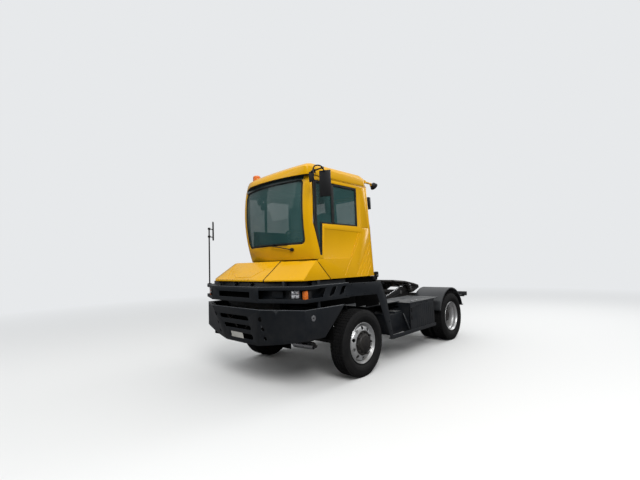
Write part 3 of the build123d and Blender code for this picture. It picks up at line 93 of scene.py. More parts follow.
class TractorSizes(bpy.types.PropertyGroup):
    """Sizes of the added pieces"""

    edge: length("Panel edge", "Rounding of the folded panels", 0.004)
    tread: length("Tread depth", "Height of the tyre's blocks", 0.011)
    seal: length("Window seal", "Width of the rubber round the windows", 0.026)
    nut: length("Wheel nut", "Radius of a wheel nut over its flats", 0.017)
    bolt: length("Body bolt", "Radius of a bolt head on the bodywork", 0.01)


def operation(kind, flip=False):
    """A math node as a Python operator, with its terms swapped where flip is set."""
    def apply(self, other):
        n = self.tree.nodes.new("ShaderNodeMath")
        n.operation = kind
        for socket, value in zip(n.inputs, (other, self) if flip else (self, other)):
            wire(self.tree, socket, value)
        return Sock(self.tree, n.outputs[0])
    return apply


class Sock:
    """A shader socket that takes part in Python expressions."""

    def __init__(self, tree, out):
        self.tree, self.out = tree, out

    __add__, __radd__ = operation("ADD"), operation("ADD", True)
    __sub__, __rsub__ = operation("SUBTRACT"), operation("SUBTRACT", True)
    __mul__ = operation("MULTIPLY")


def wire(tree, socket, value):
    if isinstance(value, Sock):
        tree.links.new(value.out, socket)
    elif hasattr(socket, "default_value"):
        if socket.type == "RGBA" and len(value) == 3:
            value = (*value, 1)
        socket.default_value = value


def add_node(tree, kind, settings=None, values=None, out=0):
    n = tree.nodes.new("ShaderNode" + kind)
    for key, value in (settings or {}).items():
        setattr(n, key, value)
    for key, value in (values or {}).items():
        wire(tree, n.inputs[key], value)
    return Sock(tree, n.outputs[out])


class Skin:
    """One material: its principled shader and the nodes that vary over the surface."""

    def __init__(self, name, **fixed):
        self.mat = bpy.data.materials.new(name)
        self.mat.use_nodes = True
        self.tree = self.mat.node_tree
        self.shader = self.tree.nodes["Principled BSDF"]
        for key, value in fixed.items():
            self.feed(key.replace("_", " ").title().replace("Ior", "IOR"), value)
        SKINS[name] = self.mat

    def feed(self, socket, value):
        wire(self.tree, self.shader.inputs[socket], value)

    def node(self, kind, settings=None, values=None, out=0):
        return add_node(self.tree, kind, settings, values, out)

    def place(self, stretch=(1, 1, 1)):
        return self.node("Mapping", None, {"Vector": self.node("TexCoord", out="Object"), "Scale": stretch})

    def noise(self, scale, detail=3.0, stretch=(1, 1, 1), rough=0.55):
        return self.node("TexNoise", None, {"Vector": self.place(stretch), "Scale": scale, "Detail": detail,
                                            "Roughness": rough})

    def wave(self, scale, way="Z", distortion=0.0):
        return self.node("TexWave", {"wave_type": "BANDS", "bands_direction": way},
                         {"Vector": self.place(), "Scale": scale, "Distortion": distortion})

    def span(self, value, low, high, to_low=0.0, to_high=1.0):
        return self.node("MapRange", {"clamp": True}, {"Value": value, "From Min": low, "From Max": high,
                                                       "To Min": to_low, "To Max": to_high})

    def mix(self, amount, first, second, kind="MIX"):
        settings = {"data_type": "RGBA", "blend_type": kind}
        return self.node("Mix", settings, {0: amount, 6: first, 7: second}, out=2)

    def tone(self, base, factor):
        grey = self.node("CombineColor", None, {0: factor, 1: factor, 2: factor})
        return self.mix(1.0, base, grey, "MULTIPLY")

    def rise(self, kind, vector):
        return self.node("SeparateXYZ", None, {0: self.node(kind, out=vector)}, out=2)

    def height(self):
        return self.rise("TexCoord", "Object")

    def bump(self, value, strength, distance):
        values = {"Height": value, "Strength": strength, "Distance": distance}
        self.feed("Normal", self.node("Bump", None, values))


def painted(name, base, dust, rough, low_z, high_z, dirt, coat=0.0, peel=0.06, gloss=0.5, metal=0.0):
    """Sprayed paint with faded patches, vertical streaks, and dust low down and on ledges."""
    s = Skin(name, coat_weight=coat, coat_roughness=0.06, specular_ior_level=gloss, metallic=metal)
    grime = s.noise(7.0, 6, rough=0.65)
    low = s.span(s.height(), high_z, low_z)
    ledge = s.span(s.rise("NewGeometry", "Normal"), 0.6, 1.0)
    soil = (low * 0.9 + ledge * 0.55) * s.span(grime, 0.38, 0.68) * dirt
    streak = s.span(s.noise(9.0, 4, (6, 6, 0.5)), 0.56, 0.78) * 0.16 * dirt
    speck = s.span(s.noise(140.0, 2), 0.66, 0.74) * 0.1 * dirt
    soil = s.span(soil + streak + speck, 0.0, 1.0)
    s.feed("Base Color", s.mix(soil, s.tone(base, 0.9 + s.noise(1.7, 4) * 0.2), dust))
    s.feed("Roughness", s.span(soil * 0.45 + rough + (grime - 0.5) * 0.16, 0.0, 1.0))
    s.bump(s.noise(55.0, 2), peel, 0.001)


def make_paints(c, dust):
    """The sprayed, cast and polished finishes."""
    painted(YELLOW, tuple(c.cab), (0.42, 0.24, 0.03), 0.24, 1.35, 2.1, 0.06, coat=0.12, gloss=0.22)
    painted(STEEL, tuple(c.steel), dust, 0.36, 0.25, 1.5, 0.11, peel=0.12, gloss=0.32)
    painted("guard_sheet", (0.014, 0.016, 0.019), dust, 0.36, 0.25, 1.5, 0.1, coat=0.25, peel=0.04, gloss=0.6)
    painted(FRAME, tuple(c.chassis), dust, 0.52, 0.1, 1.2, 0.28, peel=0.25, gloss=0.3)
    painted(SILVER, tuple(c.rim), (0.2, 0.18, 0.15), 0.3, -0.1, 1.3, 0.75, peel=0.15, metal=0.6)
    painted(HUB, (0.014, 0.0125, 0.012), (0.085, 0.077, 0.068), 0.46, -0.1, 1.3, 0.4, peel=0.5, gloss=0.35)
    painted(BLACK, (0.009, 0.009, 0.01), dust, 0.46, 0.4, 3.0, 0.07, peel=0.35, gloss=0.22)
    painted("cab_lining", (0.026, 0.028, 0.03), dust, 0.72, 1.4, 3.2, 0.12, peel=0.6)
    painted(CAST, (0.055, 0.055, 0.058), dust, 0.6, 0.4, 1.6, 0.7, peel=0.9)
    painted("mirror_glass", (0.55, 0.58, 0.6), (0.4, 0.4, 0.38), 0.04, 0.0, 3.5, 0.1, metal=1.0)
    painted("pale_plate", (0.7, 0.69, 0.64), (0.3, 0.28, 0.24), 0.45, 0.4, 1.0, 0.8)
    # a lighter grey for thin strips on top edges: painted highlight
    painted("painted_edge_highlight", (0.085, 0.092, 0.102), dust, 0.34, 0.25, 1.5, 0.2, coat=0.3, peel=0.12)
    painted("glass_border", (0.02, 0.044, 0.044), (0.05, 0.07, 0.07), 0.28, 1.5, 3.2, 0.08, peel=0.0)
    painted(BRIGHT, (0.58, 0.58, 0.6), (0.25, 0.23, 0.2), 0.24, 0.2, 1.4, 0.35, metal=1.0)


def make_skins():
    """Every finish of the tractor."""
    c = bpy.context.scene.tractor_colours
    make_paints(c, tuple(c.dust))

    s = Skin("rubber", specular_ior_level=0.2)
    wear = s.noise(3.0, 5)
    grit = s.span(s.noise(16.0, 5), 0.42, 0.72) * 0.5 + s.span(s.height(), 0.45, 0.0) * 0.35
    grit = s.span(grit * wear, 0.0, 0.75, 0.0, 0.45)
    s.feed("Base Color", s.mix(grit, tuple(c.rubber), (0.034, 0.031, 0.028)))
    s.feed("Roughness", 0.66 + wear * 0.25)
    s.bump(s.noise(180.0, 3), 0.25, 0.001)

    # nearly black and matt: the finish of the sheets and discs that paint shade where the body is dark
    s = Skin(SHADE, specular_ior_level=0.05)
    s.feed("Base Color", s.mix(s.noise(8.0, 3), (0.002, 0.002, 0.0022), (0.005, 0.0048, 0.0045)))
    s.feed("Roughness", 0.85 + s.noise(30.0, 3) * 0.1)

    s = Skin(SEAL, specular_ior_level=0.3)
    s.feed("Base Color", s.mix(s.span(s.noise(12.0, 4), 0.4, 0.8), (0.01, 0.01, 0.011), (0.035, 0.033, 0.03)))
    s.feed("Roughness", 0.5 + s.noise(30.0, 3) * 0.3)

    s = Skin("window_glass", ior=1.5, roughness=0.02)
    smear = s.span(s.noise(2.6, 5, (1, 1, 0.5)), 0.45, 0.8)
    s.feed("Base Color", s.mix(smear, tuple(c.glass), (0.08, 0.16, 0.156)))
    s.feed("Alpha", 0.46 + smear * 0.12)

    s = Skin("lamp_clear", ior=1.5, roughness=0.05)
    flute = s.wave(60.0, "Z", 0.4)
    s.feed("Base Color", s.tone((0.86, 0.88, 0.9), 0.8 + flute * 0.2))
    s.feed("Alpha", 0.34 + flute * 0.12)
    s.bump(flute, 0.4, 0.002)

    for name, value in (("lens_amber", tuple(c.amber)), ("lens_red", tuple(c.lens_red))):
        s = Skin(name, ior=1.49, roughness=0.12, coat_weight=0.5)
        flute = s.wave(45.0)
        s.feed("Base Color", s.tone(value, 0.72 + flute * 0.34 - s.noise(20.0, 3) * 0.12))
        s.bump(flute, 0.5, 0.002)

    s = Skin(GREASE)
    smear = s.noise(9.0, 6, rough=0.7)
    s.feed("Base Color", s.mix(s.span(smear, 0.45, 0.75), (0.01, 0.01, 0.01), (0.065, 0.058, 0.05)))
    s.feed("Roughness", s.span(smear, 0.3, 0.8, 0.16, 0.75))
    s.bump(s.noise(45.0, 4) + smear, 0.8, 0.004)

    s = Skin(CHEQUER)
    rub = s.noise(5.0, 6, rough=0.7)
    s.feed("Base Color", s.mix(s.span(rub, 0.38, 0.72), (0.05, 0.054, 0.06), (0.21, 0.21, 0.205)))
    s.feed("Roughness", 0.42 + rub * 0.35)
    s.feed("Metallic", s.span(rub, 0.35, 0.6, 0.1, 0.45))
    s.bump(s.noise(70.0, 3), 0.3, 0.002)

    s = Skin("seat_cloth", sheen_weight=0.25)
    weave, weft = s.wave(260.0, "X"), s.wave(260.0)
    s.feed("Base Color", s.tone(tuple(c.cloth), 0.65 + weave * 0.3 + s.noise(8.0, 4) * 0.4))
    s.feed("Roughness", 0.85 + weft * 0.1)
    s.bump(weave * weft, 0.5, 0.001)


def only(*objs):
    bpy.ops.object.select_all(action="DESELECT")
    for o in objs:
        o.select_set(True)
    bpy.context.view_layer.objects.active = objs[-1]


def add(primitive, **settings):
    """A new primitive, with nothing else selected."""
    bpy.ops.object.select_all(action="DESELECT")
    primitive(**settings)
    return bpy.context.object


def settle(obj):
    """Puts the object's place, turn and scale into its mesh."""
    only(obj)
    bpy.ops.object.transform_apply(location=True, rotation=True, scale=True)
    return obj


def edited(obj, *steps):
    """Runs each step in edit mode with all of the mesh selected."""
    only(obj)
    bpy.ops.object.mode_set(mode="EDIT")
    for step in steps:
        bpy.ops.mesh.select_all(action="SELECT")
        step()
    bpy.ops.object.mode_set(mode="OBJECT")
    return obj


def weld():
    bpy.ops.mesh.remove_doubles(threshold=0.00002)


def flatten():
    bpy.ops.mesh.dissolve_limited(angle_limit=radians(0.4))


def change(obj, kind, **settings):
    """Adds a modifier and applies it."""
    only(obj)
    mod = obj.modifiers.new("shape", kind)
    for key, value in settings.items():
        setattr(mod, key, value)
    bpy.ops.object.modifier_apply(modifier=mod.name)
    return obj


def soften(obj, width, angle=30):
    """Bevels the edges sharper than this angle, and shades the piece smooth between its folds."""
    if width:
        change(obj, "BEVEL", width=width, segments=2, limit_method="ANGLE", angle_limit=radians(angle),
               use_clamp_overlap=False)
    only(obj)
    bpy.ops.object.shade_smooth_by_angle(angle=radians(38))
    return obj


def coat(obj, skin):
    obj.data.materials.clear()
    obj.data.materials.append(SKINS[skin])
    return obj


def cuboid(mid, size, turn=(0, 0, 0)):
    obj = add(bpy.ops.mesh.primitive_cube_add, size=1, location=mid, rotation=turn)
    obj.scale = size
    return settle(obj)


def slab(mid, size, skin, edge=0.003, turn=0.0):
    """A rounded block about its middle, turned about its own upright axis."""
    return coat(soften(cuboid(mid, size, (0, 0, turn)), min(edge, 0.4 * min(size))), skin)


def block(low, high, skin, edge=0.003, turn=0.0):
    """A rounded block between two corners."""
    mid = [(a + b) / 2 for a, b in zip(low, high)]
    return slab(mid, [abs(b - a) for a, b in zip(low, high)], skin, edge, turn)


def rod(p, q, radius, skin, sides=20, edge=0.001, top=None):
    """A round bar, or a taper where top is given."""
    p, q = Vector(p), Vector(q)
    obj = add(bpy.ops.mesh.primitive_cone_add, vertices=sides, radius1=radius,
              radius2=radius if top is None else top, depth=(q - p).length, location=(p + q) / 2,
              rotation=(q - p).to_track_quat("Z", "Y").to_euler())
    return coat(soften(settle(obj), edge, 50), skin)


def each(shape, rows, skin, *rest):
    """One shape for every pair of points, all with the same finish."""
    return [shape(p, q, skin, *rest) for p, q in rows]


def both(shape, p, q, *rest):
    """A shape between two points and its mirror image on the right."""
    return [shape((p[0], s * p[1], p[2]), (q[0], s * q[1], q[2]), *rest) for s in (1, -1)]


def chain(points):
    """Edges through the points, left in edit mode with everything selected."""
    points = [Vector(p) for p in points]
    obj = add(bpy.ops.mesh.primitive_plane_add, size=0.01, location=points[0])
    bpy.ops.object.mode_set(mode="EDIT")
    bpy.ops.mesh.select_all(action="SELECT")
    bpy.ops.mesh.merge(type="CENTER")
    for a, b in zip(points, points[1:]):
        bpy.ops.mesh.extrude_region_move(TRANSFORM_OT_translate={"value": b - a})
    bpy.ops.mesh.select_all(action="SELECT")
    return obj


def close_up(obj):
    bpy.ops.mesh.select_all(action="SELECT")
    bpy.ops.mesh.remove_doubles(threshold=0.00005)
    bpy.ops.mesh.normals_make_consistent(inside=False)
    bpy.ops.object.mode_set(mode="OBJECT")
    return settle(obj)


def spun(points, centre, axis, steps, skin):
    """An outline turned once round an axis."""
    obj = chain(points)
    bpy.ops.mesh.spin(steps=steps, angle=2 * pi, center=centre, axis=axis)
    return coat(soften(close_up(obj), 0), skin)


def lathe(profile, centre, skin, steps=96, side=1, closed=True):
    """A profile of (radius, distance outboard) turned about an axle along Y."""
    x, y, z = centre
    points = [(x + r, y + side * w, z) for r, w in profile]
    if closed:
        points.append(points[0])
    return spun(points, centre, (0, 1, 0), steps, skin)


def panel(points, depth, skin, edge=0.002, border=0.0):
    """A plate with this outline pushed out by depth, or only a border of this width."""
    obj = chain(points)
    bpy.ops.mesh.edge_face_add()
    bpy.ops.mesh.select_all(action="SELECT")
    if border:
        bpy.ops.mesh.inset(thickness=border)
        bpy.ops.mesh.delete(type="FACE")
        bpy.ops.mesh.select_all(action="SELECT")
    bpy.ops.mesh.extrude_region_move(TRANSFORM_OT_translate={"value": depth})
    return coat(soften(close_up(obj), edge), skin)


def pipe(points, radius, skin, kind="NURBS"):
    """A tube through the points, bent, or with sharp corners where kind is POLY."""
    obj = add(bpy.ops.curve.primitive_nurbs_path_add, location=(0, 0, 0))
    obj.data.splines.clear()
    line = obj.data.splines.new(kind)
    line.points.add(len(points) - 1)
    for p, at in zip(line.points, points):
        p.co = (*at, 1)
    if kind == "NURBS":
        line.order_u = 3
        line.use_endpoint_u = True
    obj.data.bevel_depth = radius
    obj.data.bevel_resolution = 3
    obj.data.use_fill_caps = True
    bpy.ops.object.convert(target="MESH")
    return coat(soften(settle(bpy.context.object), 0), skin)


def twin(model):
    """A free copy of a piece or node."""
    obj = model.copy()
    obj.data = model.data.copy()
    bpy.context.collection.objects.link(obj)
    obj.parent = None
    for key in list(obj.keys()):
        del obj[key]
    return obj


def join(*parts):
    only(*parts)
    if len(parts) > 1:
        bpy.ops.object.join()
    return settle(bpy.context.view_layer.objects.active)


def spread(model, places):
    """Copies of a small model that stands at the origin and faces up, one at each (point, direction)."""
    made = [twin(model) for _ in places]
    for obj, (at, way) in zip(made, places):
        obj.data.transform(Matrix.Translation(at) @ Vector(way).to_track_quat("Z", "Y").to_matrix().to_4x4())
    bpy.data.objects.remove(model)
    return join(*made)


def cut(obj, tool):
    """Takes the tool's shape out of the piece."""
    change(obj, "BOOLEAN", operation="DIFFERENCE", object=tool, solver="EXACT")
    bpy.data.objects.remove(tool)
    return obj


def give(parts, name, body="chassis", slot=BLACK, *stands_for):
    """Joins the parts, and says what the piece rides on and the nodes that it stands for; the slot is not
    used.
    """
    obj = join(*parts) if len(parts) > 1 else parts[0]
    obj.name = name
    obj.data.name = name
    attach(obj, body)
    if stands_for:
        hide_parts(*stands_for)
    return obj


def bolt(size, skin):
    """A hexagon head on a washer, facing up at the origin."""
    washer = rod((0, 0, -0.001), (0, 0, size * 0.22), size * 1.3, skin, 16, size * 0.08)
    return join(washer, rod((0, 0, size * 0.15), (0, 0, size * 0.9), size, skin, 6, size * 0.12))


class TRACTOR_OT_finishes(bpy.types.Operator):
    """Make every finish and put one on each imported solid"""

    bl_idname = "tractor.finishes"
    bl_label = "Finishes"

    def execute(self, context):
        make_skins()
        for skin, names in (
                (FRAME, "front_axle rear_axle knuckle_left knuckle_right lift_barrels frame_rails"),
                (BLACK, "air_stack work_lamps head_lamps mirrors dashboard seat"),
                (STEEL, "deck_plate rear_lamps"), (YELLOW, "cab_floor"), (CAST, "engine_block"),
                (BRIGHT, "lift_rods"), ("pale_plate", "number_plate"), ("lens_amber", "amber_lamps"),
                ("window_glass", "windscreen cab_glass door_glass")):
            for name in names.split():
                coat(NODES[name], skin)
        return {"FINISHED"}


def ease(k):
    """Smooth step from 0 to 1."""
    k = min(max(k, 0), 1)
    return k * k * (3 - 2 * k)


def over(y):
    """How far across the cab this is, from 0 at the right face to 1 at the left."""
    return (y - CAB_RIGHT) / (CAB_LEFT - CAB_RIGHT)


def front_x(y, z):
    """The cab's outer front face: an arc over the width whose ends and middle bow out over the height."""
    k, t = (z - 1.745) / 1.125, over(y)
    right, mid, left = (foot + (head - foot) * k + 4 * bow * k * (1 - k) for foot, head, bow in
                        ((2.12, 2.215, 0.078), (2.315, 2.375, 0.062), (2.175, 2.215, 0.053)))
    return right + (left - right) * t + 4 * t * (1 - t) * (mid - (right + left) / 2)


def rear_x(z):
    """The leaning rear wall of the cab, which moves 0.121 m forward over 1.4 m of height."""
    return 0.906 + 0.121 / 1.4 * (z - 1.47)


def recolour(shell, skin, inside):
    """Gives a second finish to the faces whose centres pass the test."""
    shell.data.materials.append(SKINS[skin])
    for f in shell.data.polygons:
        if inside(*f.center):
            f.material_index = 1


def in_cab(x, y, z):
    """True for a face that looks into the cab."""
    wall = 0.018
    across = CAB_RIGHT + wall < y < CAB_LEFT - wall
    along = rear_x(z) + 0.012 < x < front_x(y, z) - 0.03
    return across and along and z < 2.985


def shape_visor(shell):
    """Draws the visor in towards the right front corner, and runs its top edge straighter than its foot."""
    for v in shell.data.vertices:
        x, y, z = v.co
        draw = ease((0.1 - y) / 0.46) * ease((x - 2.0) / 0.25)
        up = ease((z - 2.88) / 0.12)
        bow = max(4 * over(y) * (1 - over(y)), 0)
        x += (0.045 - 0.1 * bow) * ease((x - 1.95) / 0.2) * up * ease((y + 0.3) / 0.5) - 0.07 * draw
        y += 0.045 * draw
        v.co = (x, y, z + 0.026 * up * min(max(over(y), 0), 1))


def slots():
    """Wide slanted slots and the slanted end of the lamp opening, to be cut from both ends of the band."""
    shapes = (((1.965, 1.262), (1.895, 1.258), (1.827, 1.363), (1.899, 1.367)),
              ((1.769, 1.254), (1.694, 1.258), (1.626, 1.362), (1.699, 1.362)),
              ((2.17, 1.262), (2.104, 1.262), (2.034, 1.364), (2.17, 1.366)))
    return [panel([(x, s * 1.232, z) for x, z in shape], (0, -s * 0.028, 0), "cab_lining", 0)
            for s in (1, -1) for shape in shapes]


class TRACTOR_OT_panels(bpy.types.Operator):
    """Round the folds and cut edges of the bodywork"""

    bl_idname = "tractor.panels"
    bl_label = "Body panels"

    def execute(self, context):
        edge = context.scene.tractor_sizes.edge
        rides = {"hood_lid": "hood", "rear_door": "door", "lift_boom": "boom", "coupling_plate": "coupling"}
        for skin, slot, node, times in (
                (STEEL, "anthracite", "front_bumper", 1), (STEEL, "anthracite", "lamp_band", 0.6),
                (YELLOW, "yellow", "hood_lid", 1), (YELLOW, "yellow", "hood_skirt", 1),
                (YELLOW, "yellow", "cab_front", 1), (YELLOW, "yellow", "cab_left", 0.35),
                (YELLOW, "yellow", "cab_right", 0.35), (YELLOW, "yellow", "cab_rear", 0.8),
                (YELLOW, "yellow", "cab_roof", 1.2), (YELLOW, "yellow", "rear_door", 0.8),
                (STEEL, "anthracite", "step_box", 1), (STEEL, "anthracite", "fuel_tank", 1),
                ("guard_sheet", "anthracite", "mudguards", 0.5), (FRAME, "chassis_black", "lift_boom", 1),
                (GREASE, "greased_black", "coupling_plate", 1.5)):
            shell = edited(twin(NODES[node]), weld, flatten)
            for tool in slots() if node == "lamp_band" else ():
                cut(shell, tool)
            coat(soften(shell, edge * times, 28), skin)
            give([shell], node + "_dressed", rides.get(node, "chassis"), slot, node)
            if node == "cab_roof":
                shape_visor(shell)
            # the hood lid's faces below its foot take black rubber: painted shade in the dark gap over the
            # band
            if node == "hood_lid":
                recolour(shell, SEAL, lambda x, y, z: z < LID_FOOT)
            if node.startswith("cab_"):
                recolour(shell, "cab_lining", in_cab)
        return {"FINISHED"}


class TRACTOR_OT_tyres(bpy.types.Operator):
    """Make the tyres: moulded sidewalls and a tread of blocks in five ribs"""

    bl_idname = "tractor.tyres"
    bl_label = "Tyres"

    def execute(self, context):
        depth = context.scene.tractor_sizes.tread
        base = WHEEL_R - depth
        # a block ends this gap inside the wheel's radius, and is higher by this root than the tread is deep
        gap, root = 0.0008, 0.002
        half = [(0.29, 0.09), (0.296, 0.1), (0.306, 0.107), (0.316, 0.106), (0.322, 0.112), (0.345, 0.127),
                (0.35, 0.13), (0.356, 0.13), (0.361, 0.1325), (0.385, 0.137), (0.398, 0.1372),
                (0.402, 0.1355), (0.428, 0.134), (0.445, 0.13), (0.449, 0.1268), (0.462, 0.1235),
                (0.472, 0.118), (base, 0.108)]
        wall = half + [(base + 0.001, 0.05), (base + 0.001, -0.05)] + [(r, -w) for r, w in reversed(half)]
        for name, body, node, x, rows in (
                ("tyre_fl", "wheel_fl", "front_tyre_left", FRONT_X, (WHEEL_Y,)),
                ("tyre_fr", "wheel_fr", "front_tyre_right", FRONT_X, (-WHEEL_Y,)),
                ("tyres_rl", "wheel_rl", "rear_tyres_left", REAR_X, (WHEEL_Y, WHEEL_Y - TWIN)),
                ("tyres_rr", "wheel_rr", "rear_tyres_right", REAR_X, (-WHEEL_Y, TWIN - WHEEL_Y))):
            # length of a block, and number of pitches
            long, steps = (0.031, 72) if x == REAR_X else (0.04, 64)
            parts = []
            for y in rows:
                hub = (x, y, WHEEL_R)
                # one pitch of the tread, then copies round the wheel
                high = WHEEL_R * 2 - gap - (depth + root) / 2
                pitch = [cuboid((x, y + across, high), (long, wide, depth + root), (0, 0, lean))
                         for across, wide, lean in BLOCKS]
                turn = {"steps": steps, "dupli": True, "angle": 2 * pi, "center": hub, "axis": (0, 1, 0)}
                tread = edited(coat(join(*pitch), "rubber"), lambda: bpy.ops.mesh.spin(**turn),
                               lambda: bpy.ops.mesh.remove_doubles(threshold=0.0001))
                parts += [lathe(wall, hub, "rubber"), tread]
            give(parts, name, body, "tyre", node)
        return {"FINISHED"}


def round_axle(at, radius, count, out, side, start=0.0):
    """Points round a wheel's axle, each with the way outboard."""
    x, y, z = at
    turns = [2 * pi * (i + start) / count for i in range(count)]
    return [((x + radius * cos(a), y + side * out, z + radius * sin(a)), (0, side, 0)) for a in turns]


def hand_holes(disc, at, radius, low, high, side):
    """Ten round holes through the disc of a rim."""
    tools = [rod((x, y + side * low, z), (x, y + side * high, z), 0.027, SILVER, 20, 0)
             for (x, y, z), _ in round_axle(at, radius, 10, 0, side, 0.5)]
    return soften(cut(disc, join(*tools)), 0.0015, 40)


def wheel_nuts(size, at, radius, reach, side):
    """Ten nuts on washers, with their studs."""
    one = join(rod((0, 0, 0), (0, 0, 0.006), size * 1.35, HUB, 24, 0.0015),
               rod((0, 0, 0.004), (0, 0, 0.03), size, HUB, 6, 0.002),
               rod((0, 0, 0.028), (0, 0, 0.044), size * 0.55, HUB, 14))
    return spread(one, round_axle(at, radius, 10, reach, side))


class TRACTOR_OT_rims(bpy.types.Operator):
    """Make the steel rims with their hand holes, hubs and wheel nuts"""

    bl_idname = "tractor.rims"
    bl_label = "Rims"

    def execute(self, context):
        nut = context.scene.tractor_sizes.nut
        # outer and inner lips of every rim, as (radius, distance outboard)
        lip = [(0.2855, 0.096), (0.29, 0.1), (0.2975, 0.103), (0.2985, 0.108), (0.2955, 0.112),
               (0.289, 0.1115)]
        heel = [(0.27, -0.106), (0.296, -0.112), (0.2985, -0.108), (0.29, -0.099), (0.2855, -0.095)]
        # the front wheels' well, disc, ring under the nuts, and hub
        well = [(0.2835, 0.104), (0.279, 0.088), (0.27, 0.078), (0.263, 0.06), (0.26, 0.03), (0.26, -0.095)]
        disc = [(0.26, 0.04), (0.2565, 0.062), (0.248, 0.082), (0.236, 0.095), (0.22, 0.1035), (0.2, 0.11),
                (0.185, 0.114), (0.178, 0.114), (0.174, 0.11), (0.14, 0.11), (0.14, 0.1), (0.185, 0.101),
                (0.215, 0.093), (0.238, 0.078), (0.252, 0.052), (0.254, 0.03)]
        ring = [(0.139, 0.109), (0.139, 0.1125), (0.178, 0.116), (0.182, 0.112), (0.182, 0.108)]
        hub = [(0.05, 0.06), (0.12, 0.06), (0.146, 0.088), (0.146, 0.118), (0.141, 0.124), (0.128, 0.128),
               (0.122, 0.146), (0.112, 0.153), (0.08, 0.1535), (0.074, 0.158), (0.03, 0.1595), (0.0, 0.1597)]
        for name, body, node, side in (("rim_fl", "wheel_fl", "front_rim_left", 1),
                                       ("rim_fr", "wheel_fr", "front_rim_right", -1)):
            at = (FRONT_X, side * WHEEL_Y, WHEEL_R)
            give([lathe(lip + well + heel, at, SILVER, 96, side),
                  hand_holes(lathe(disc, at, SILVER, 96, side), at, 0.218, 0.03, 0.16, side),
                  lathe(ring, at, HUB, 72, side), lathe(hub, at, HUB, 64, side, False),
                  wheel_nuts(nut, at, 0.1625, 0.108, side),
                  spread(bolt(0.007, HUB), round_axle(at, 0.096, 8, 0.153, side))], name, body, SILVER, node)
        # the rear wheels' well, disc and hub, and the drum inboard of it
        well = [(0.283, 0.104), (0.278, 0.088), (0.269, 0.08), (0.267, 0.045), (0.248, 0.026), (0.244, 0.018),
                (0.243, -0.06), (0.248, -0.085)]
        disc = [(0.244, -0.07), (0.242, -0.095), (0.233, -0.125), (0.218, -0.143), (0.198, -0.15),
                (0.14, -0.15), (0.14, -0.1595), (0.205, -0.1595), (0.226, -0.152), (0.242, -0.132),
                (0.25, -0.1), (0.25, -0.075)]
        hub = [(0.064, 0.0), (0.142, 0.0), (0.142, 0.03), (0.134, 0.052), (0.13, 0.13), (0.122, 0.14),
               (0.104, 0.15), (0.098, 0.182), (0.088, 0.188), (0.0, 0.1895)]
        drum = [(0.064, 0.0), (0.142, 0.0), (0.142, -0.085), (0.064, -0.085)]
        for name, body, node, side in (("rims_rl", "wheel_rl", "rear_rims_left", 1),
                                       ("rims_rr", "wheel_rr", "rear_rims_right", -1)):
            parts = []
            for y, s in ((WHEEL_Y, side), (WHEEL_Y - TWIN, -side)):
                at = (REAR_X, side * y, WHEEL_R)
                parts += [lathe(lip + well + heel, at, SILVER, 96, s),
                          hand_holes(lathe(disc, at, SILVER, 96, s), at, 0.205, -0.2, -0.1, s)]
            mid = (REAR_X, side * (WHEEL_Y - TWIN / 2), WHEEL_R)
            parts += [lathe(hub, mid, HUB, 64, side, False), wheel_nuts(nut, mid, 0.166, 0.01, side),
                      lathe(drum, mid, HUB, 48, side, False),
                      spread(bolt(0.008, HUB), round_axle(mid, 0.114, 10, 0.142, side))]
            give(parts, name, body, SILVER, node)
        return {"FINISHED"}


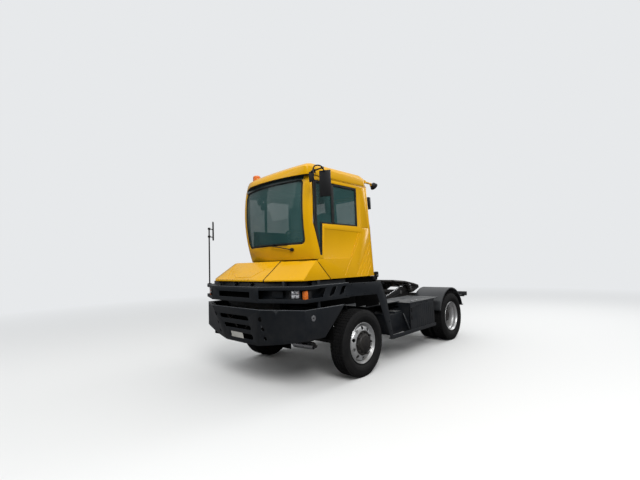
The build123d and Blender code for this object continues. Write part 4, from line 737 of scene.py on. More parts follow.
class TRACTOR_OT_lamps(bpy.types.Operator):
    """Make the head lamps, corner indicators, reflectors, tail lamps, beacon and work lamp"""

    bl_idname = "tractor.lamps"
    bl_label = "Lamps"

    def execute(self, context):
        heads, ambers, trims = [], [], []
        for s in (1, -1):
            # housing on the band's corner face, then four lenses in two rows
            a, b = Vector((2.5, s * 0.985, 0)), Vector((2.425, s * 1.13, 0))
            along, face = (b - a).normalized(), (a + b) / 2
            out = Vector((along.y * s, -along.x * s, 0))
            turn = atan2(along.y, along.x)
            housing = face - out * 0.022 + Vector((0, 0, 1.273))
            heads.append(slab(housing, (0.164, 0.044, 0.146), BLACK, 0.005, turn))
            for shift in (-0.022, 0.034):
                for z in (1.268, 1.3235):
                    c = face + along * shift + Vector((0, 0, z))
                    heads += [slab(c, (0.054, 0.008, 0.053), BRIGHT, 0.004, turn),
                              rod(c, c + out * 0.008, 0.0235, BRIGHT, 28, 0.002, 0.0215)]
                    lens = add(bpy.ops.mesh.primitive_uv_sphere_add, segments=24, ring_count=12,
                               radius=0.0215, location=c + out * 0.006)
                    heads.append(coat(soften(settle(lens), 0), "lamp_clear"))
            # corner indicator, then the grey pane beside the lamps, a dark block and the reflector strips
            ambers.append(block((2.36, s * 1.14, 1.206), (2.414, s * 1.2, 1.344), "lens_amber", 0.01))
            lean = atan2(0.63 * s, -0.255)
            trims += [slab((2.535, s * 0.8, 1.2955), (0.16, 0.012, 0.099), STEEL, 0.004, lean),
                      block((2.3, s * 1.128, 1.2), (2.35, s * 1.196, 1.35), BLACK, 0.006),
                      block((2.06, s * 1.2145, 1.3765), (2.34, s * 1.2195, 1.3905), "lens_red", 0.002),
                      block((2.22, s * 1.2145, 1.2065), (2.34, s * 1.2195, 1.2205), "lens_red", 0.002)]
        give(heads, "head_lamp_units", "chassis", "lamp_glass", "head_lamps")
        # beacon: base, then a ribbed lens
        x, y, z = beacon = (2.17, -0.1, 3.0155)
        ribs = [(r, h + i * 0.0085) for i in range(7) for r, h in ((0.0585, 0.026), (0.06, 0.03))]
        for skin, profile in (
                (BLACK, [(0.0, 0.0), (0.066, 0.0), (0.066, 0.01), (0.062, 0.016), (0.0, 0.016)]),
                ("lens_amber", [(0.0, 0.015), (0.058, 0.015), (0.06, 0.02), *ribs, (0.057, 0.088),
                                (0.048, 0.098), (0.028, 0.106), (0.0, 0.109)])):
            ambers.append(spun([(x + r, y, z + h) for r, h in profile], beacon, (0, 0, 1), 48, skin))
        give(ambers, "amber_units", "chassis", "amber", "amber_lamps")
        give(trims, "band_trims")
        # tail lamps: glass on the back of the housings
        glasses = ((0.97, "lens_red"), (1.045, "lens_amber"), (1.12, "lens_red"), (1.18, "pale_plate"))
        give([rod((-2.6905, s * y, 0.899), (-2.6985, s * y, 0.899), 0.026, skin, 28, 0.002, 0.023)
              for s in (1, -1) for y, skin in glasses], "tail_lamp_glasses")
        # work lamp behind the roof with its arm, and the grey box under it
        body, face = Vector((0.732, 1.14, 2.934)), Vector((-0.8, 0.1, -0.59)).normalized()
        lamp = [rod(body - face * 0.036, body + face * 0.012, 0.044, BLACK, 32, 0.006, 0.062),
                rod(body + face * 0.01, body + face * 0.026, 0.065, BLACK, 32, 0.004),
                rod(body + face * 0.024, body + face * 0.03, 0.056, "lamp_clear", 32, 0.002)]
        lamp += each(block, (((0.8, 1.118, 2.95), (1.0124, 1.152, 2.974)),
                             ((0.8, 1.12, 2.925), (0.812, 1.15, 2.972)),
                             ((0.985, 1.096, 2.935), (1.0124, 1.174, 2.985))), YELLOW)
        lamp.append(block((0.905, 1.105, 2.524), (0.963, 1.195, 2.716), STEEL, 0.006))
        lamp += each(block, (((0.77, 1.128, 2.925), (0.806, 1.146, 2.945)),
                             ((0.896, 1.115, 2.54), (0.906, 1.185, 2.7)),
                             ((0.96, 1.12, 2.56), (0.985, 1.18, 2.68))), BLACK)
        give(lamp, "work_lamp_unit", "chassis", BLACK, "work_lamps")
        return {"FINISHED"}


def screen_seal(seal):
    """A copy of the curved windscreen with its middle taken out, made thicker."""
    tool = cuboid(SCREEN_MID, (0.8, SCREEN_WIDE - 2 * seal, SCREEN_TALL - 2 * seal))
    edited(tool, lambda: bpy.ops.mesh.select_all(action="DESELECT"))
    for e in tool.data.edges:
        a, b = (tool.data.vertices[i].co for i in e.vertices)
        e.select = abs(a.x - b.x) > 0.5
    bpy.ops.object.mode_set(mode="EDIT")
    bpy.ops.mesh.bevel(offset=0.055, segments=8)
    bpy.ops.object.mode_set(mode="OBJECT")
    ring = cut(edited(twin(NODES["windscreen"]), weld), tool)
    edited(ring, lambda: bpy.ops.transform.shrink_fatten(value=0.0065))
    return coat(soften(ring, 0), SEAL)


def rear_frame(inset, depth, y0, y1, low, high):
    """A rubber border round an opening in the rear wall."""
    corners = ((y0, low), (y1, low), (y1, high), (y0, high))
    return panel([(rear_x(z) - inset, y, z) for y, z in corners], (depth, 0, 0), SEAL, 0.002, 0.018)


class TRACTOR_OT_windows(bpy.types.Operator):
    """Set rubber seals, posts and the quarter glass round the cab's windows, and the wiper"""

    bl_idname = "tractor.windows"
    bl_label = "Windows and wiper"

    def execute(self, context):
        rubber = [screen_seal(context.scene.tractor_sizes.seal)]
        # dark header between the glass and the visor: middle height, half its width and half its height
        up, half_wide, half_tall = 2.8455, 0.652, 0.0245
        header = add(bpy.ops.mesh.primitive_grid_add, x_subdivisions=28, y_subdivisions=2, size=2)
        for v in header.data.vertices:
            y, z = SCREEN_MID[1] + v.co.x * half_wide, up + v.co.y * half_tall
            v.co = (front_x(y, z) + 0.0015, y, z)
        rubber.append(coat(change(header, "SOLIDIFY", thickness=0.003, offset=0), "glass_border"))
        # side windows: seal along the opening, upright posts and the glass of the front quarter
        opening = ((2.168, 2.806), (2.168, 2.19), (2.104, 1.797), (2.072, 1.797), (2.057, 2.227),
                   (1.287, 2.227), (1.287, 2.806))
        quarter = ((2.062, 2.806), (2.174, 2.806), (2.178, 2.235), (2.108, 1.8), (2.073, 1.8), (2.062, 2.1))
        panes = []
        for s, y in ((1, CAB_LEFT), (-1, CAB_RIGHT)):
            outer = y - s * 0.0045
            rubber += [panel([(x, outer, z) for x, z in opening], (0, -s * 0.016, 0), SEAL, 0.003, 0.02),
                       pipe([(x, y - s * d, z) for x, d, z in (
                           (2.18, 0.02, 2.8), (2.192, 0.024, 2.5), (2.184, 0.022, 2.24), (2.12, 0.012, 1.9),
                           (2.106, 0.01, 1.805))], 0.015, SEAL),
                       block((1.8, outer, 2.228), (1.852, y - s * 0.02, 2.806), SEAL, 0.004),
                       block((1.29, outer - s * 0.002, 2.776), (2.16, y - s * 0.019, 2.804), SEAL)]
            pane = [(x, y - s * 0.024, z) for x, z in quarter]
            panes.append(panel(pane, (0, s * 0.005, 0), "window_glass", 0))
        give(rubber, "window_seals")
        give(panes, "quarter_glass", "chassis", "glass")
        # seals of the rear window and of the door's two panes, and the door's handle
        give([rear_frame(0.004, 0.016, -0.268, 0.328, 2.227, 2.758)], "rear_window_seal")
        x = rear_x(2.1)
        door = [rear_frame(0.042, 0.01, 0.492, 0.968, low, high)
                for low, high in ((2.227, 2.708), (1.642, 2.133))]
        door += [block((x - 0.075, 0.475, 1.98), (x - 0.052, 0.5, 2.16), BLACK, 0.006),
                 block((x - 0.056, 0.478, 2.0), (x - 0.036, 0.497, 2.02), BLACK, 0.002),
                 block((x - 0.056, 0.478, 2.12), (x - 0.036, 0.497, 2.14), BLACK, 0.002)]
        give(door, "door_seals", "door", BLACK)
        # wiper: pivot cap, arm and blade along the foot of the glass
        pivot, mid, *blade = (Vector((front_x(y, z) + out, y, z)) for y, z, out in (
            (0.865, 1.885, 0.01), (0.54, 1.95, 0.034), (0.8, 1.966, 0.008), (0.5, 1.966, 0.008),
            (0.2, 1.98, 0.008)))
        ahead = Vector((1, 0, 0))
        give([rod(pivot - ahead * 0.02, pivot + ahead * 0.022, 0.024, BLACK, 24, 0.004),
              pipe([pivot + ahead * 0.015, (pivot + mid) / 2 + ahead * 0.012, mid], 0.007, BLACK),
              pipe(blade, 0.0065, SEAL), pipe([b + ahead * 0.012 for b in blade], 0.005, BLACK),
              block(mid + Vector((-0.024, -0.02, 0.012)), mid + Vector((0.006, 0.02, 0.03)), BLACK, 0.004)],
             "wiper")
        # small round heads on bent stalks behind the top of the windscreen
        heads = [pipe(line, 0.008, BLACK) for line in (
            [(2.15, -0.235, 2.832), (2.13, -0.19, 2.835), (2.12, -0.11, 2.81), (2.118, -0.085, 2.76)],
            [(2.118, -0.085, 2.76), (2.116, -0.06, 2.7), (2.116, -0.02, 2.655)],
            [(2.125, 0.085, 2.835), (2.12, 0.1, 2.8), (2.118, 0.13, 2.76)])]
        heads += [rod((2.135, y, z), (2.095, y, z), size, BLACK, 28, 0.008, size * 0.8)
                  for y, z, size in ((-0.09, 2.7, 0.062), (-0.005, 2.61, 0.064), (0.14, 2.7, 0.068))]
        give(heads, "header_mirrors")
        return {"FINISHED"}


class TRACTOR_OT_cab_trim(bpy.types.Operator):
    """Make the gutter, latch, grab rail and pressed lines of the cab and hood, and black sheets of painted
    shade under the cab, hood and bumper
    """

    bl_idname = "tractor.cab_trim"
    bl_label = "Cab trim"

    def execute(self, context):
        give([block((1.03, y - 0.003, 2.86), (2.12, y + 0.003, 2.869), YELLOW, 0.002)
              for y in (CAB_LEFT + 0.0055, CAB_RIGHT - 0.0055)], "roof_gutter", "chassis", "yellow")
        # latch under the cab's rear corner, and the cab's four rests
        parts = [block((0.8, 1.08, 1.4), (0.895, 1.19, 1.462), BLACK, 0.012),
                 block((0.785, 1.15, 1.44), (0.85, 1.205, 1.53), BLACK, 0.014),
                 rod((0.83, 1.198, 1.47), (0.83, 1.2085, 1.47), 0.016, BRIGHT, 20, 0.002)]
        parts += [rod((x, y, 1.3995), (x, y, 1.4095), 0.045, BLACK, 24, 0.003) for x in (2.095, 1.0)
                  for y in (-0.3, 1.05)]
        give(parts, "cab_latch")
        # upright black sheets at a side y, as painted shade: skirts under the cab and hood, and walls over
        # the front wheels
        parts = [block((x0, y - 0.003, z0), (x1, y + 0.003, z1), SHADE, 0) for x0, x1, y, z0, z1 in (
            (0.93, 2.235, 1.14, 1.36, 1.463), (1.56, 2.235, -1.14, 1.36, 1.463),
            (0.93, 2.08, 1.14, 1.455, 1.4695), (0.79, 0.935, 1.14, 1.36, 1.425),
            (0.24, 0.88, 0.479, 0.966, 1.15), (0.5, 0.872, 0.987, 0.966, 1.15),
            (0.88, 2.1, 0.479, 0.885, 1.455), (0.88, 2.1, -0.479, 0.885, 1.455),
            (0.872, 1.13, 0.987, 0.99, 1.185), (0.872, 1.13, -0.987, 0.99, 1.185))]
        # black sheets across, as painted shade: flaps before the front wheels, and the backs of the bumper's
        # and the band's slots
        parts += both(block, (1.896, 0.52, 0.64), (1.902, 1.19, 1.09), SHADE, 0)
        parts += each(block, (((2.454, -0.95, 0.6), (2.458, 0.95, 1.07)),
                              ((2.6, -0.56, 1.2), (2.604, 0.56, 1.39))), SHADE, 0)
        # a flat black tray under the bumper, as painted shade
        tray = ((2.3, -0.75), (2.47, -0.75), (2.555, -0.38), (2.555, 0.38), (2.47, 0.75), (2.3, 0.75))
        parts.append(panel([(x, y, 0.59) for x, y in tray], (0, 0, 0.004), SHADE, 0))
        parts += [pipe([(2.6, a, 1.02), (2.57, b, 0.8)], 0.011, FRAME, "POLY") for a, b in
                  ((-0.42, -0.1), (-0.1, -0.42), (0.1, 0.42), (0.42, 0.1))]
        give(parts, "painted_shade_sheets")
        # pressed lines on the cab's sides, and the lines and seam on the hood's front
        give([pipe([(x0, y, z0), (x1, y, z1)], 0.0042, YELLOW, "POLY") for y in (CAB_LEFT, CAB_RIGHT)
              for x0, z0, x1, z1 in (
                  (1.463, 1.745, 1.622, 1.49), (1.262, 2.135, 1.458, 1.765), (1.003, 1.99, 1.345, 1.484),
                  (0.988, 1.91, 1.25, 1.479), (0.972, 1.802, 1.175, 1.476), (0.958, 1.694, 1.098, 1.472))],
             "side_lines", "chassis", "yellow")
        crease = [(2.357, -0.465, 1.717), (2.462, -0.416, 1.634), (2.556, -0.353, 1.559), (2.6, -0.29, 1.524),
                 (2.632, -0.25, 1.499)]
        lower = [(2.5, -0.3, 1.604), (2.606, -0.08, 1.52), (2.594, 0.3, 1.529), (2.47, 0.45, 1.628)]
        give([pipe(crease, 0.0045, YELLOW), pipe(lower, 0.004, YELLOW, "POLY"),
              pipe([(2.646, 0.643, 1.489), (2.331, 0.64, 1.7395)], 0.0038, SEAL, "POLY"),
              block((2.636, 0.632, 1.47), (2.6475, 0.654, 1.486), SEAL, 0.002)],
             "hood_lines", "hood", "yellow")
        # grab rail beside the rear door
        rail = ((0.96, 1.66), (0.88, 1.68), (0.88, 1.72), (0.905, 2.05), (0.925, 2.34), (0.985, 2.36))
        give([pipe([(x, 1.15, z) for x, z in rail], 0.013, BLACK)], "grab_rail")
        return {"FINISHED"}


def mirror_head(x, y, low, high, wide, nx, ny):
    """A mirror's housing, and its glass on the side that (nx, ny) looks to."""
    mid, tall, turn = Vector((x, y, (low + high) / 2)), high - low, atan2(ny, nx)
    face, pane = mid + Vector((nx, ny, 0)) * 0.0105, (0.006, wide - 0.024, tall - 0.024)
    return [slab(mid, (0.025, wide, tall), BLACK, 0.01, turn), slab(face, pane, "mirror_glass", 0.002, turn)]


class TRACTOR_OT_mirrors(bpy.types.Operator):
    """Make the mirrors: rounded housings, glasses, bent tubes and clamps"""

    bl_idname = "tractor.mirrors"
    bl_label = "Mirrors"

    def execute(self, context):
        parts = mirror_head(2.15, 1.365, 2.556, 2.905, 0.158, -0.905, -0.425)
        parts += mirror_head(2.375, 1.3403, 2.722, 2.857, 0.084, -1, 0)
        arm = [(2.384, 1.37, 2.85), (2.372, 1.37, 2.89), (2.345, 1.37, 2.93), (2.29, 1.37, 2.946),
               (2.246, 1.37, 2.95), (2.205, 1.37, 2.94), (2.176, 1.369, 2.905), (2.156, 1.366, 2.88)]
        parts += [pipe(arm, 0.009, BLACK),
                  pipe([(2.191, 1.2085, 2.927), (2.191, 1.3, 2.93), (2.196, 1.37, 2.933)], 0.01, BLACK),
                  block((2.166, 1.2075, 2.9), (2.216, 1.2165, 2.95), BLACK)]
        parts += [slab(at, (0.028, 0.028, 0.028), BLACK, 0.004)
                  for at in ((2.191, 1.362, 2.931), (2.384, 1.362, 2.848))]
        # right mirror: its post on the lamp band, its head, and two clamps that join them
        foot, top = Vector((2.415, -1.19, 1.4005)), Vector((2.375, -1.262, 2.39))
        x, y = 2.246, -1.3545
        parts += [rod(foot, foot + Vector((0, 0, 0.014)), 0.034, BLACK, 28, 0.003),
                  pipe([foot.lerp(top, k) for k in (0, 0.03, 0.5, 1)], 0.012, BLACK)]
        parts += mirror_head(x, y, 2.175, 2.505, 0.198, -0.865, 0.5)
        for z in (2.23, 2.37):
            clamp = foot.lerp(top, (z - foot.z) / (top.z - foot.z))
            half_way = (clamp + Vector((x, y, z))) / 2
            parts += [pipe([clamp, half_way, (x + 0.004, y + 0.0025, z)], 0.008, BLACK),
                      slab(clamp, (0.036, 0.036, 0.036), BLACK, 0.005, 0.4)]
        give(parts, "mirror_set", "chassis", BLACK, "mirrors")
        return {"FINISHED"}


def pad(mid, size, lean, crown):
    """A cushion with a crowned face and two sewn troughs along it."""
    o = edited(cuboid(mid, size, (0, lean, 0)), lambda: bpy.ops.mesh.subdivide(number_cuts=7))
    turn, back = Matrix.Rotation(-lean, 3, "Y"), Matrix.Rotation(lean, 3, "Y")
    for v in o.data.vertices:
        p = turn @ (v.co - Vector(mid))
        u, w, t = (2 * c / d for c, d in zip(p, size))
        bulge = (1 - u * u) * (1 - w * w)
        side = 1 - 0.07 * abs(u * w) - 0.02 * t * t
        trough = 0.006 if abs(abs(w) - 0.5) < 0.07 else 0.0
        height = p.z * (0.86 + 0.14 * bulge) + (crown * bulge - trough) * (1 if t > 0 else -0.2)
        v.co = Vector(mid) + back @ Vector((p.x * side, p.y * side, height))
    change(o, "SUBSURF", levels=2, render_levels=2)
    return coat(soften(o, 0), "seat_cloth")


class TRACTOR_OT_seat(bpy.types.Operator):
    """Make the driver's seat: crowned cushion and back on a sprung base"""

    bl_idname = "tractor.seat"
    bl_label = "Seat"

    def execute(self, context):
        cushion = pad((1.44, SEAT_Y, 1.832), (0.505, 0.5, 0.125), 0.0, 0.018)
        give([cushion], "seat_cushion", "chassis", "seat_fabric", "seat")
        rest = pad((1.212, SEAT_Y, 2.215), (0.64, 0.478, 0.115), radians(83.5), 0.016)
        give([rest], "seat_back", "chassis", "seat_fabric")
        base = [block((1.24, 0.25, 1.745), (1.64, 0.63, 1.772), BLACK, 0.01),
                block((1.3, 0.29, 1.5105), (1.6, 0.59, 1.56), BLACK, 0.008)]
        base += [slab((1.45, SEAT_Y, 1.58 + i * 0.033), (0.25, 0.26, 0.026), SEAL, 0.012) for i in range(5)]
        give(base, "seat_base")
        return {"FINISHED"}


class TRACTOR_OT_dashboard(bpy.types.Operator):
    """Make the dashboard, steering column, wheel, stalks and dials"""

    bl_idname = "tractor.dashboard"
    bl_label = "Dashboard"

    def execute(self, context):
        parts = [block((1.962, -0.168, 1.7455), (2.122, 1.098, 1.86), BLACK, 0.03),
                 block((1.902, -0.168, 1.5105), (2.0495, 1.098, 1.798), BLACK, 0.022),
                 block((1.94, 0.24, 1.8), (2.11, 0.64, 1.899), BLACK, 0.035),
                 block((1.915, 0.285, 1.7), (1.99, 0.595, 1.88), BLACK, 0.02)]
        hub, across = Vector((1.8, SEAT_Y, 2.08)), Vector((0, 1, 0))
        way = Vector((-0.16, 0, 0.28)).normalized()
        parts.append(rod((1.958, SEAT_Y, 1.802), hub - way * 0.02, 0.03, BLACK, 28, 0.003, 0.026))
        wheel = add(bpy.ops.mesh.primitive_torus_add, major_radius=0.205, minor_radius=0.0145,
                    major_segments=72, minor_segments=16, location=hub + way * 0.01,
                    rotation=way.to_track_quat("Z", "Y").to_euler())
        parts.append(coat(soften(settle(wheel), 0), BLACK))
        for v in (across, -across, way.cross(across) * 0.8 + across * 0.001):
            bend, end = hub + v * 0.1 - way * 0.006, hub + v.normalized() * 0.198 + way * 0.008
            parts.append(pipe([hub, bend, end], 0.01, BLACK))
        parts.append(rod(hub - way * 0.018, hub + way * 0.014, 0.052, BLACK, 32, 0.008))
        parts += [rod(hub - way * 0.07, hub - way * 0.045 + across * s * 0.17, 0.008, BLACK, 14, 0.001, 0.006)
                  for s in (1, -1)]
        parts += [rod((1.939, y, 1.845), (1.933, y, 1.847), 0.021, "mirror_glass", 24, 0.002)
                  for y in (0.3 + i * 0.056 for i in range(6))]
        give(parts, "dashboard_unit", "chassis", BLACK, "dashboard")
        return {"FINISHED"}


def chequer(name, x0, x1, y0, y1, z, pitch=0.036):
    """A tread sheet with raised lozenges that lean to either side in turn."""
    margin, thick = 0.018, 0.003
    nx, ny = int((x1 - x0 - 0.03) / pitch), int((y1 - y0 - 0.03) / pitch)
    dx, dy = (x1 - x0 - 2 * margin) / nx, (y1 - y0 - 2 * margin) / ny
    made = [block((x0, y0, z), (x1, y1, z + thick), CHEQUER, 0.001)]
    for odd, lean in ((0, -45), (1, 45)):
        stud = add(bpy.ops.mesh.primitive_uv_sphere_add, segments=8, ring_count=4, radius=1)
        stud.scale = (0.014, 0.0042, 0.0022)
        coat(settle(stud), CHEQUER).data.transform(Matrix.Rotation(radians(lean), 4, "Z"))
        spots = [(x0 + margin + i * dx, y0 + margin + j * dy, z + thick)
                 for i in range(nx + 1) for j in range(ny + 1) if (i + j) % 2 == odd]
        made.append(spread(stud, [(spot, (0, 0, 1)) for spot in spots]))
    give(made, name, "chassis", "deck_steel")


class TRACTOR_OT_steps(bpy.types.Operator):
    """Make the chequered tread plates, handles, latches and edge strips of the boxes and deck"""

    bl_idname = "tractor.steps"
    bl_label = "Steps and boxes"

    def execute(self, context):
        chequer("box_tread", -1.04, -0.125, 0.48, 1.198, 0.9382)
        chequer("rear_tread", -1.296, -1.05, 0.48, 1.185, 0.9382)
        chequer("low_tread", -0.116, 0.056, 0.744, 1.021, 0.7902, 0.03)
        chequer("deck_tread", -0.112, 0.872, -1.17, 0.99, 0.9622, 0.052)
        # edge strip of the box and its two lifting handles
        parts = [block((-1.044, 1.1985, 0.9305), (-0.1205, 1.2085, 0.9425), STEEL)]
        parts += [pipe([(x + dx, 1.15, z) for dx, z in ((-0.035, 0.941), (-0.035, 0.957), (0.035, 0.957),
                                                        (0.035, 0.941))], 0.005, BRIGHT, "POLY")
                  for x in (-0.305, -0.455)]
        # catches, seams, ribs, hinges and bolts of the box door
        for z0, z1 in ((0.768, 0.84), (0.637, 0.703)):
            mid = (z0 + z1) / 2
            parts += [block((-0.192, 1.208, z0), (-0.168, 1.215, z1), BLACK),
                      rod((-0.18, 1.206, mid), (-0.18, 1.2185, mid), 0.01, BLACK, 18, 0.002)]
        parts += [block((x0, 1.2088, z0), (x1, 1.2108, z1), BLACK, 0) for x0, x1, z0, z1 in (
            (-1.032, -1.028, 0.44, 0.925), (-0.142, -0.138, 0.44, 0.925), (-1.03, -0.14, 0.436, 0.44))]
        parts += [slab((-0.96 + i * 0.075, 1.20965, 0.675), (0.007, 0.0037, 0.41), STEEL, 0.001)
                  for i in range(9)]
        parts += [rod((x - 0.035, 1.213, 0.434), (x + 0.035, 1.213, 0.434), 0.007, STEEL, 16) for x in
                  (-0.9, -0.62, -0.34)]
        spots = [((x, 1.21, 0.912), (0, 1, 0)) for x in (-0.98, -0.76, -0.54, -0.32)]
        parts.append(spread(bolt(0.009, STEEL), spots))
        give(parts, "box_fittings", "chassis", "anthracite")
        # tank: filler cap and straps on the right
        tank = [rod((-0.3, -1.0, 0.936), (-0.3, -1.0, 0.975), 0.055, BLACK, 36, 0.006),
                rod((-0.3, -1.0, 0.972), (-0.3, -1.0, 0.984), 0.042, BLACK, 12, 0.004)]
        for x in (-0.78, -0.06):
            tank += [block((x - 0.025, -1.215, 0.42), (x + 0.025, -1.2085, 0.9), BLACK, 0.002),
                     block((x - 0.025, -1.18, 0.9375), (x + 0.025, -0.48, 0.9425), BLACK, 0.002)]
        give(tank, "tank_fittings")
        return {"FINISHED"}


class TRACTOR_OT_fasteners(bpy.types.Operator):
    """Put bolts, painted highlights along edges, black discs of painted shade in holes, and small fittings on
    the bumper, band and frame
    """

    bl_idname = "tractor.fasteners"
    bl_label = "Fasteners"

    def execute(self, context):
        # rows on the band's side panels and on their legs
        spots = [(x, z) for x in (1.62, 1.5, 1.2) for z in (1.225, 1.37)]
        spots += [(1.0, 1.21), (0.7, 1.34), (0.56, 0.72), (0.52, 0.56)]
        give([spread(bolt(context.scene.tractor_sizes.bolt, STEEL),
                     [((x, s * BODY_Y, z), (0, s, 0)) for s in (1, -1) for x, z in spots])],
             "band_bolts", "chassis", "anthracite")
        # round shiny socket on the bumper's left cheek
        x, z = 2.296, 0.989
        parts = [rod((x, 1.2015, z), (x, 1.2135, z), 0.04, STEEL, 36, 0.003),
                 rod((x, 1.2095, z), (x, 1.2185, z), 0.038, BRIGHT, 32, 0.002),
                 rod((x, 1.217, z), (x, BODY_Y, z), 0.01, BLACK, 24)]
        # black discs in the holes beside the bumper's fold: painted shade in the holes
        for s in (1, -1):
            out = Vector((0.8561, s * 0.377, -0.3534))
            for x, y, z in ((2.6562, 0.5766, 0.9699), (2.6118, 0.5562, 0.8408), (2.5628, 0.5366, 0.7011)):
                at = Vector((x, s * y, z))
                parts.append(rod(at - out * 0.01, at + out * 0.0016, 0.036, SHADE, 28, 0.0005))
        # lighter grey strips along the tops of the bumper and the band: painted highlight on their rounded
        # edges
        for s in (1, -1):
            for z, size, line in (
                    (1.1, 0.0036, ((1.69, 1.215), (2.428, 1.208), (2.69, 0.612), (2.692, 0))),
                    (1.4, 0.0032, ((1.575, 1.2175), (2.444, 1.2175), (2.6955, 0.589), (2.696, 0)))):
                parts.append(pipe([(x, s * y, z) for x, y in line], size, "painted_edge_highlight", "POLY"))
        give(parts, "bumper_socket_with_painted_light", "chassis", "anthracite")
        # bolts along the frame rails
        spots = [((x, s * 0.4652, z), (0, s, 0)) for s in (1, -1)
                 for x in (-1.97, -1.73, -1.25, -1.05, 0.45, 0.62, 1.9, 2.05) for z in (0.69, 0.83)]
        give([spread(bolt(0.012, FRAME), spots)], "rail_bolts", "chassis", "chassis_black")
        # silencer across the frame behind the bumper
        give([rod((1.905, 0.395, 0.5), (1.85, 0.76, 0.5), 0.052, BRIGHT, 32, 0.01),
              rod((1.85, 0.755, 0.5), (1.845, 0.8, 0.5), 0.024, CAST, 20, 0.002),
              rod((1.905, 0.397, 0.5), (1.912, 0.36, 0.5), 0.024, CAST, 20, 0.002),
              block((1.865, 0.44, 0.535), (1.925, 0.47, 0.6395), FRAME, 0.003, -0.15)],
             "silencer", "chassis", "engine_metal")
        return {"FINISHED"}


class TRACTOR_OT_coupling(bpy.types.Operator):
    """Dress the coupling plate and boom: grease grooves, locking jaws, release handle, pins and a painted
    highlight along the boom's arms
    """

    bl_idname = "tractor.coupling"
    bl_label = "Coupling"

    def execute(self, context):
        # in the plate's own frame: grooves, jaws and pin ends, then the release handle, guides and ribs
        parts = []
        for u0, v0, u1, v1 in ((-0.3, 0.2, 0.34, 0.14), (-0.26, 0.3, 0.24, 0.3)):
            parts += both(rod, (u0, v0, 0.1203), (u1, v1, 0.1203), 0.005, GREASE, 10, 0)
        parts += both(block, (-0.07, 0.022, 0.044), (0.06, 0.046, 0.078), BRIGHT, 0.005)
        for u in (-0.02, 0.03):
            parts += both(rod, (u, 0.228, 0.04), (u, 0.2285, 0.04), 0.012, CAST, 12, 0)
        handle = [(0.05, 0.06, 0.06), (0.15, 0.22, 0.058), (0.17, 0.42, 0.056), (0.17, 0.5, 0.056)]
        parts += [pipe(handle, 0.009, BRIGHT),
                  pipe([(0.17, 0.495, 0.056), (0.2, 0.51, 0.056), (0.2, 0.47, 0.056)], 0.008, BRIGHT)]
        parts += both(block, (-0.06, 0.06, 0.046), (0.15, 0.12, 0.076), CAST, 0.005)
        for u in (-0.3, 0.24):
            parts += both(block, (u, 0.06, 0.052), (u + 0.014, 0.34, 0.081), GREASE, 0.002)
        whole = join(*parts)
        whole.data.transform(Matrix.Translation(PLATE_PIVOT) @ Matrix.Rotation(-PLATE_TILT, 4, "Y"))
        give([whole], "coupling_fittings", "coupling", "greased_black")
        # a thin bright bar along the top edge of each boom arm: painted highlight
        boom_pins_and_highlight = both(rod, (-0.7, 0.343, 0.9765), (-1.285, 0.343, 1.131), 0.0045, BRIGHT, 10, 0)
        boom_pins_and_highlight += both(rod, (-1.52, 0.3455, 1.05), (-0.7, 0.3455, 0.88), 0.006, FRAME, 12, 0)
        for x, y, z, wide in ((PLATE_PIVOT[0], 0.4035, PLATE_PIVOT[2], 0.007), (-0.65, 0.3445, 0.89, 0.009),
                              (-1.27, 0.3445, 1.01, 0.009)):
            boom_pins_and_highlight += both(rod, (x, y, z), (x, y + wide, z), 0.04, CAST, 28, 0.002)
        give(boom_pins_and_highlight, "boom_fittings", "boom", "chassis_black")
        return {"FINISHED"}


class TRACTOR_OT_mudguards(bpy.types.Operator):
    """Put the rolled edge on each rear mudguard"""

    bl_idname = "tractor.mudguards"
    bl_label = "Mudguard trim"

    def execute(self, context):
        x, z, radius = -1.82, 0.525, 0.566
        low = asin((0.672 - z) / radius)
        turns = [low + (pi - 2 * low) * i / 24 for i in range(25)]
        arcs = [[(x + radius * cos(a), s * 1.2255, z + radius * sin(a)) for a in turns] for s in (1, -1)]
        give([pipe(arc, 0.0045, STEEL, "POLY") for arc in arcs], "mudguard_edges", "chassis", "anthracite")
        return {"FINISHED"}


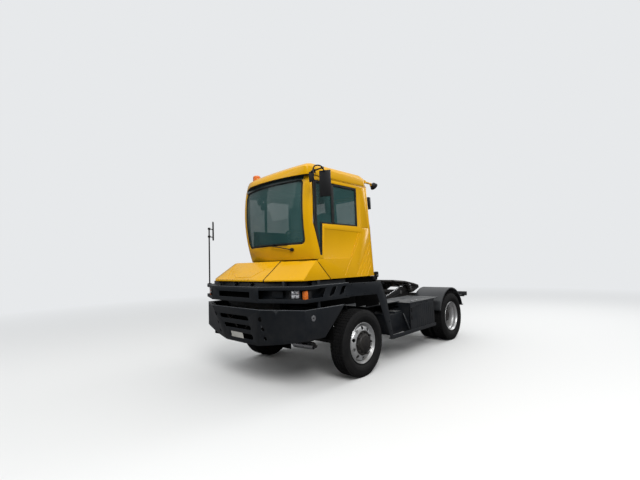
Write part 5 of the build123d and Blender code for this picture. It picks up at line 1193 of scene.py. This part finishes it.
class TRACTOR_OT_stage(bpy.types.Operator):
    """Make the pale floor, the soft studio light and the camera"""

    bl_idname = "tractor.stage"
    bl_label = "Stage"

    def execute(self, context):
        scene = context.scene
        # the floor is pale to the camera, fades into the backdrop, and is a darker yard to everything else
        backdrop = (0.8, 0.815, 0.83, 1)
        floor = add(bpy.ops.mesh.primitive_plane_add, size=160, location=(0, 0, -0.0005))
        floor.name = "studio_floor"
        s = Skin("floor_pale", roughness=0.85, specular_ior_level=0.2)
        seen = s.node("LightPath", out="Is Camera Ray")
        s.feed("Base Color", s.mix(seen, (0.13, 0.13, 0.133), tuple(scene.tractor_colours.floor)))
        reach = s.node("VectorMath", {"operation": "LENGTH"}, {0: s.node("TexCoord", out="Object")}, out=1)
        far, near = s.span(reach, 4.5, 17.0) * seen, Sock(s.tree, s.shader.outputs[0])
        glow = s.node("Emission", None, {"Color": backdrop, "Strength": 1.0})
        blend = s.node("MixShader", None, {0: far, 1: near, 2: glow})
        wire(s.tree, s.tree.nodes["Material Output"].inputs["Surface"], blend)
        coat(floor, "floor_pale")
        scene.world = bpy.data.worlds.new("studio_sky")
        scene.world.use_nodes = True
        tree = scene.world.node_tree
        seen = add_node(tree, "LightPath", out="Is Camera Ray")
        rise = add_node(tree, "SeparateXYZ", None, {0: add_node(tree, "TexCoord", out="Generated")}, out=2)
        ramp = {"Value": rise, "From Min": -0.05, "From Max": 0.8, "To Min": 0.08, "To Max": 1.08}
        light = add_node(tree, "MapRange", None, ramp)
        sky = tree.nodes["Background"]
        wire(tree, sky.inputs["Color"], backdrop)
        wire(tree, sky.inputs["Strength"], light * (1 - seen) + seen)
        for name, at, power, aim in (("key_light", (7.0, 8.5, 9.0), 980, (0.5, 0.3, 1.2)),
                                     ("fill_light", (9.0, -4.0, 5.5), 90, (1.5, 0, 1.3)),
                                     ("back_light", (-8.0, 3.0, 7.0), 260, (-1, 0, 1))):
            bpy.ops.object.light_add(type="AREA", location=at)
            lamp = bpy.context.object
            lamp.name = name
            lamp.data.shape = "DISK"
            lamp.data.size = 6.0
            lamp.data.energy = power
            lamp.rotation_euler = (Vector(aim) - Vector(at)).to_track_quat("-Z", "Y").to_euler()
        # camera: place, heading, rise and roll, then focal length and width in the photograph's pixels
        spot, head, pitch, roll = (5.484, 4.426, 1.671), 3.905, 0.07, 0.034
        focal, width, sensor = 350.1, 640, 36
        ahead = Vector((cos(head) * cos(pitch), sin(head) * cos(pitch), sin(pitch)))
        right = Vector((sin(head), -cos(head), 0))
        down = ahead.cross(right)
        r, d = cos(roll) * right + sin(roll) * down, cos(roll) * down - sin(roll) * right
        bpy.ops.object.camera_add(location=(0, 0, 0))
        camera = scene.camera = bpy.context.object
        camera.name = "photo_camera"
        turn = Matrix((r, -d, -ahead)).transposed().to_4x4()
        camera.matrix_world = Matrix.Translation(spot) @ turn
        camera.data.sensor_width = sensor
        camera.data.lens = focal / width * sensor
        scene.view_settings.view_transform = "Standard"
        return {"FINISHED"}


PIECES = (TRACTOR_OT_finishes, TRACTOR_OT_panels, TRACTOR_OT_tyres, TRACTOR_OT_rims, TRACTOR_OT_lamps,
          TRACTOR_OT_windows, TRACTOR_OT_cab_trim, TRACTOR_OT_mirrors, TRACTOR_OT_seat, TRACTOR_OT_dashboard,
          TRACTOR_OT_steps, TRACTOR_OT_fasteners, TRACTOR_OT_coupling, TRACTOR_OT_mudguards, TRACTOR_OT_stage)


class TRACTOR_PT_pieces(bpy.types.Panel):
    """Lists the sizes, colours and pieces of the tractor"""

    bl_idname = "TRACTOR_PT_pieces"
    bl_label = "Terminal tractor"
    bl_space_type = "VIEW_3D"
    bl_region_type = "UI"
    bl_category = "Tractor"

    def draw(self, context):
        for group in (context.scene.tractor_colours, context.scene.tractor_sizes):
            for name in group.__annotations__:
                self.layout.prop(group, name)
        for piece in PIECES:
            self.layout.operator(piece.bl_idname)


CLASSES = (TractorColours, TractorSizes, *PIECES, TRACTOR_PT_pieces)


def register():
    for c in CLASSES:
        bpy.utils.register_class(c)
    bpy.types.Scene.tractor_colours = bpy.props.PointerProperty(type=TractorColours)
    bpy.types.Scene.tractor_sizes = bpy.props.PointerProperty(type=TractorSizes)


def unregister():
    del bpy.types.Scene.tractor_sizes
    del bpy.types.Scene.tractor_colours
    for c in reversed(CLASSES):
        bpy.utils.unregister_class(c)


def main():
    register()
    for piece in PIECES:
        group, name = piece.bl_idname.split(".")
        getattr(getattr(bpy.ops, group), name)()


if __name__ == "__main__":
    main()
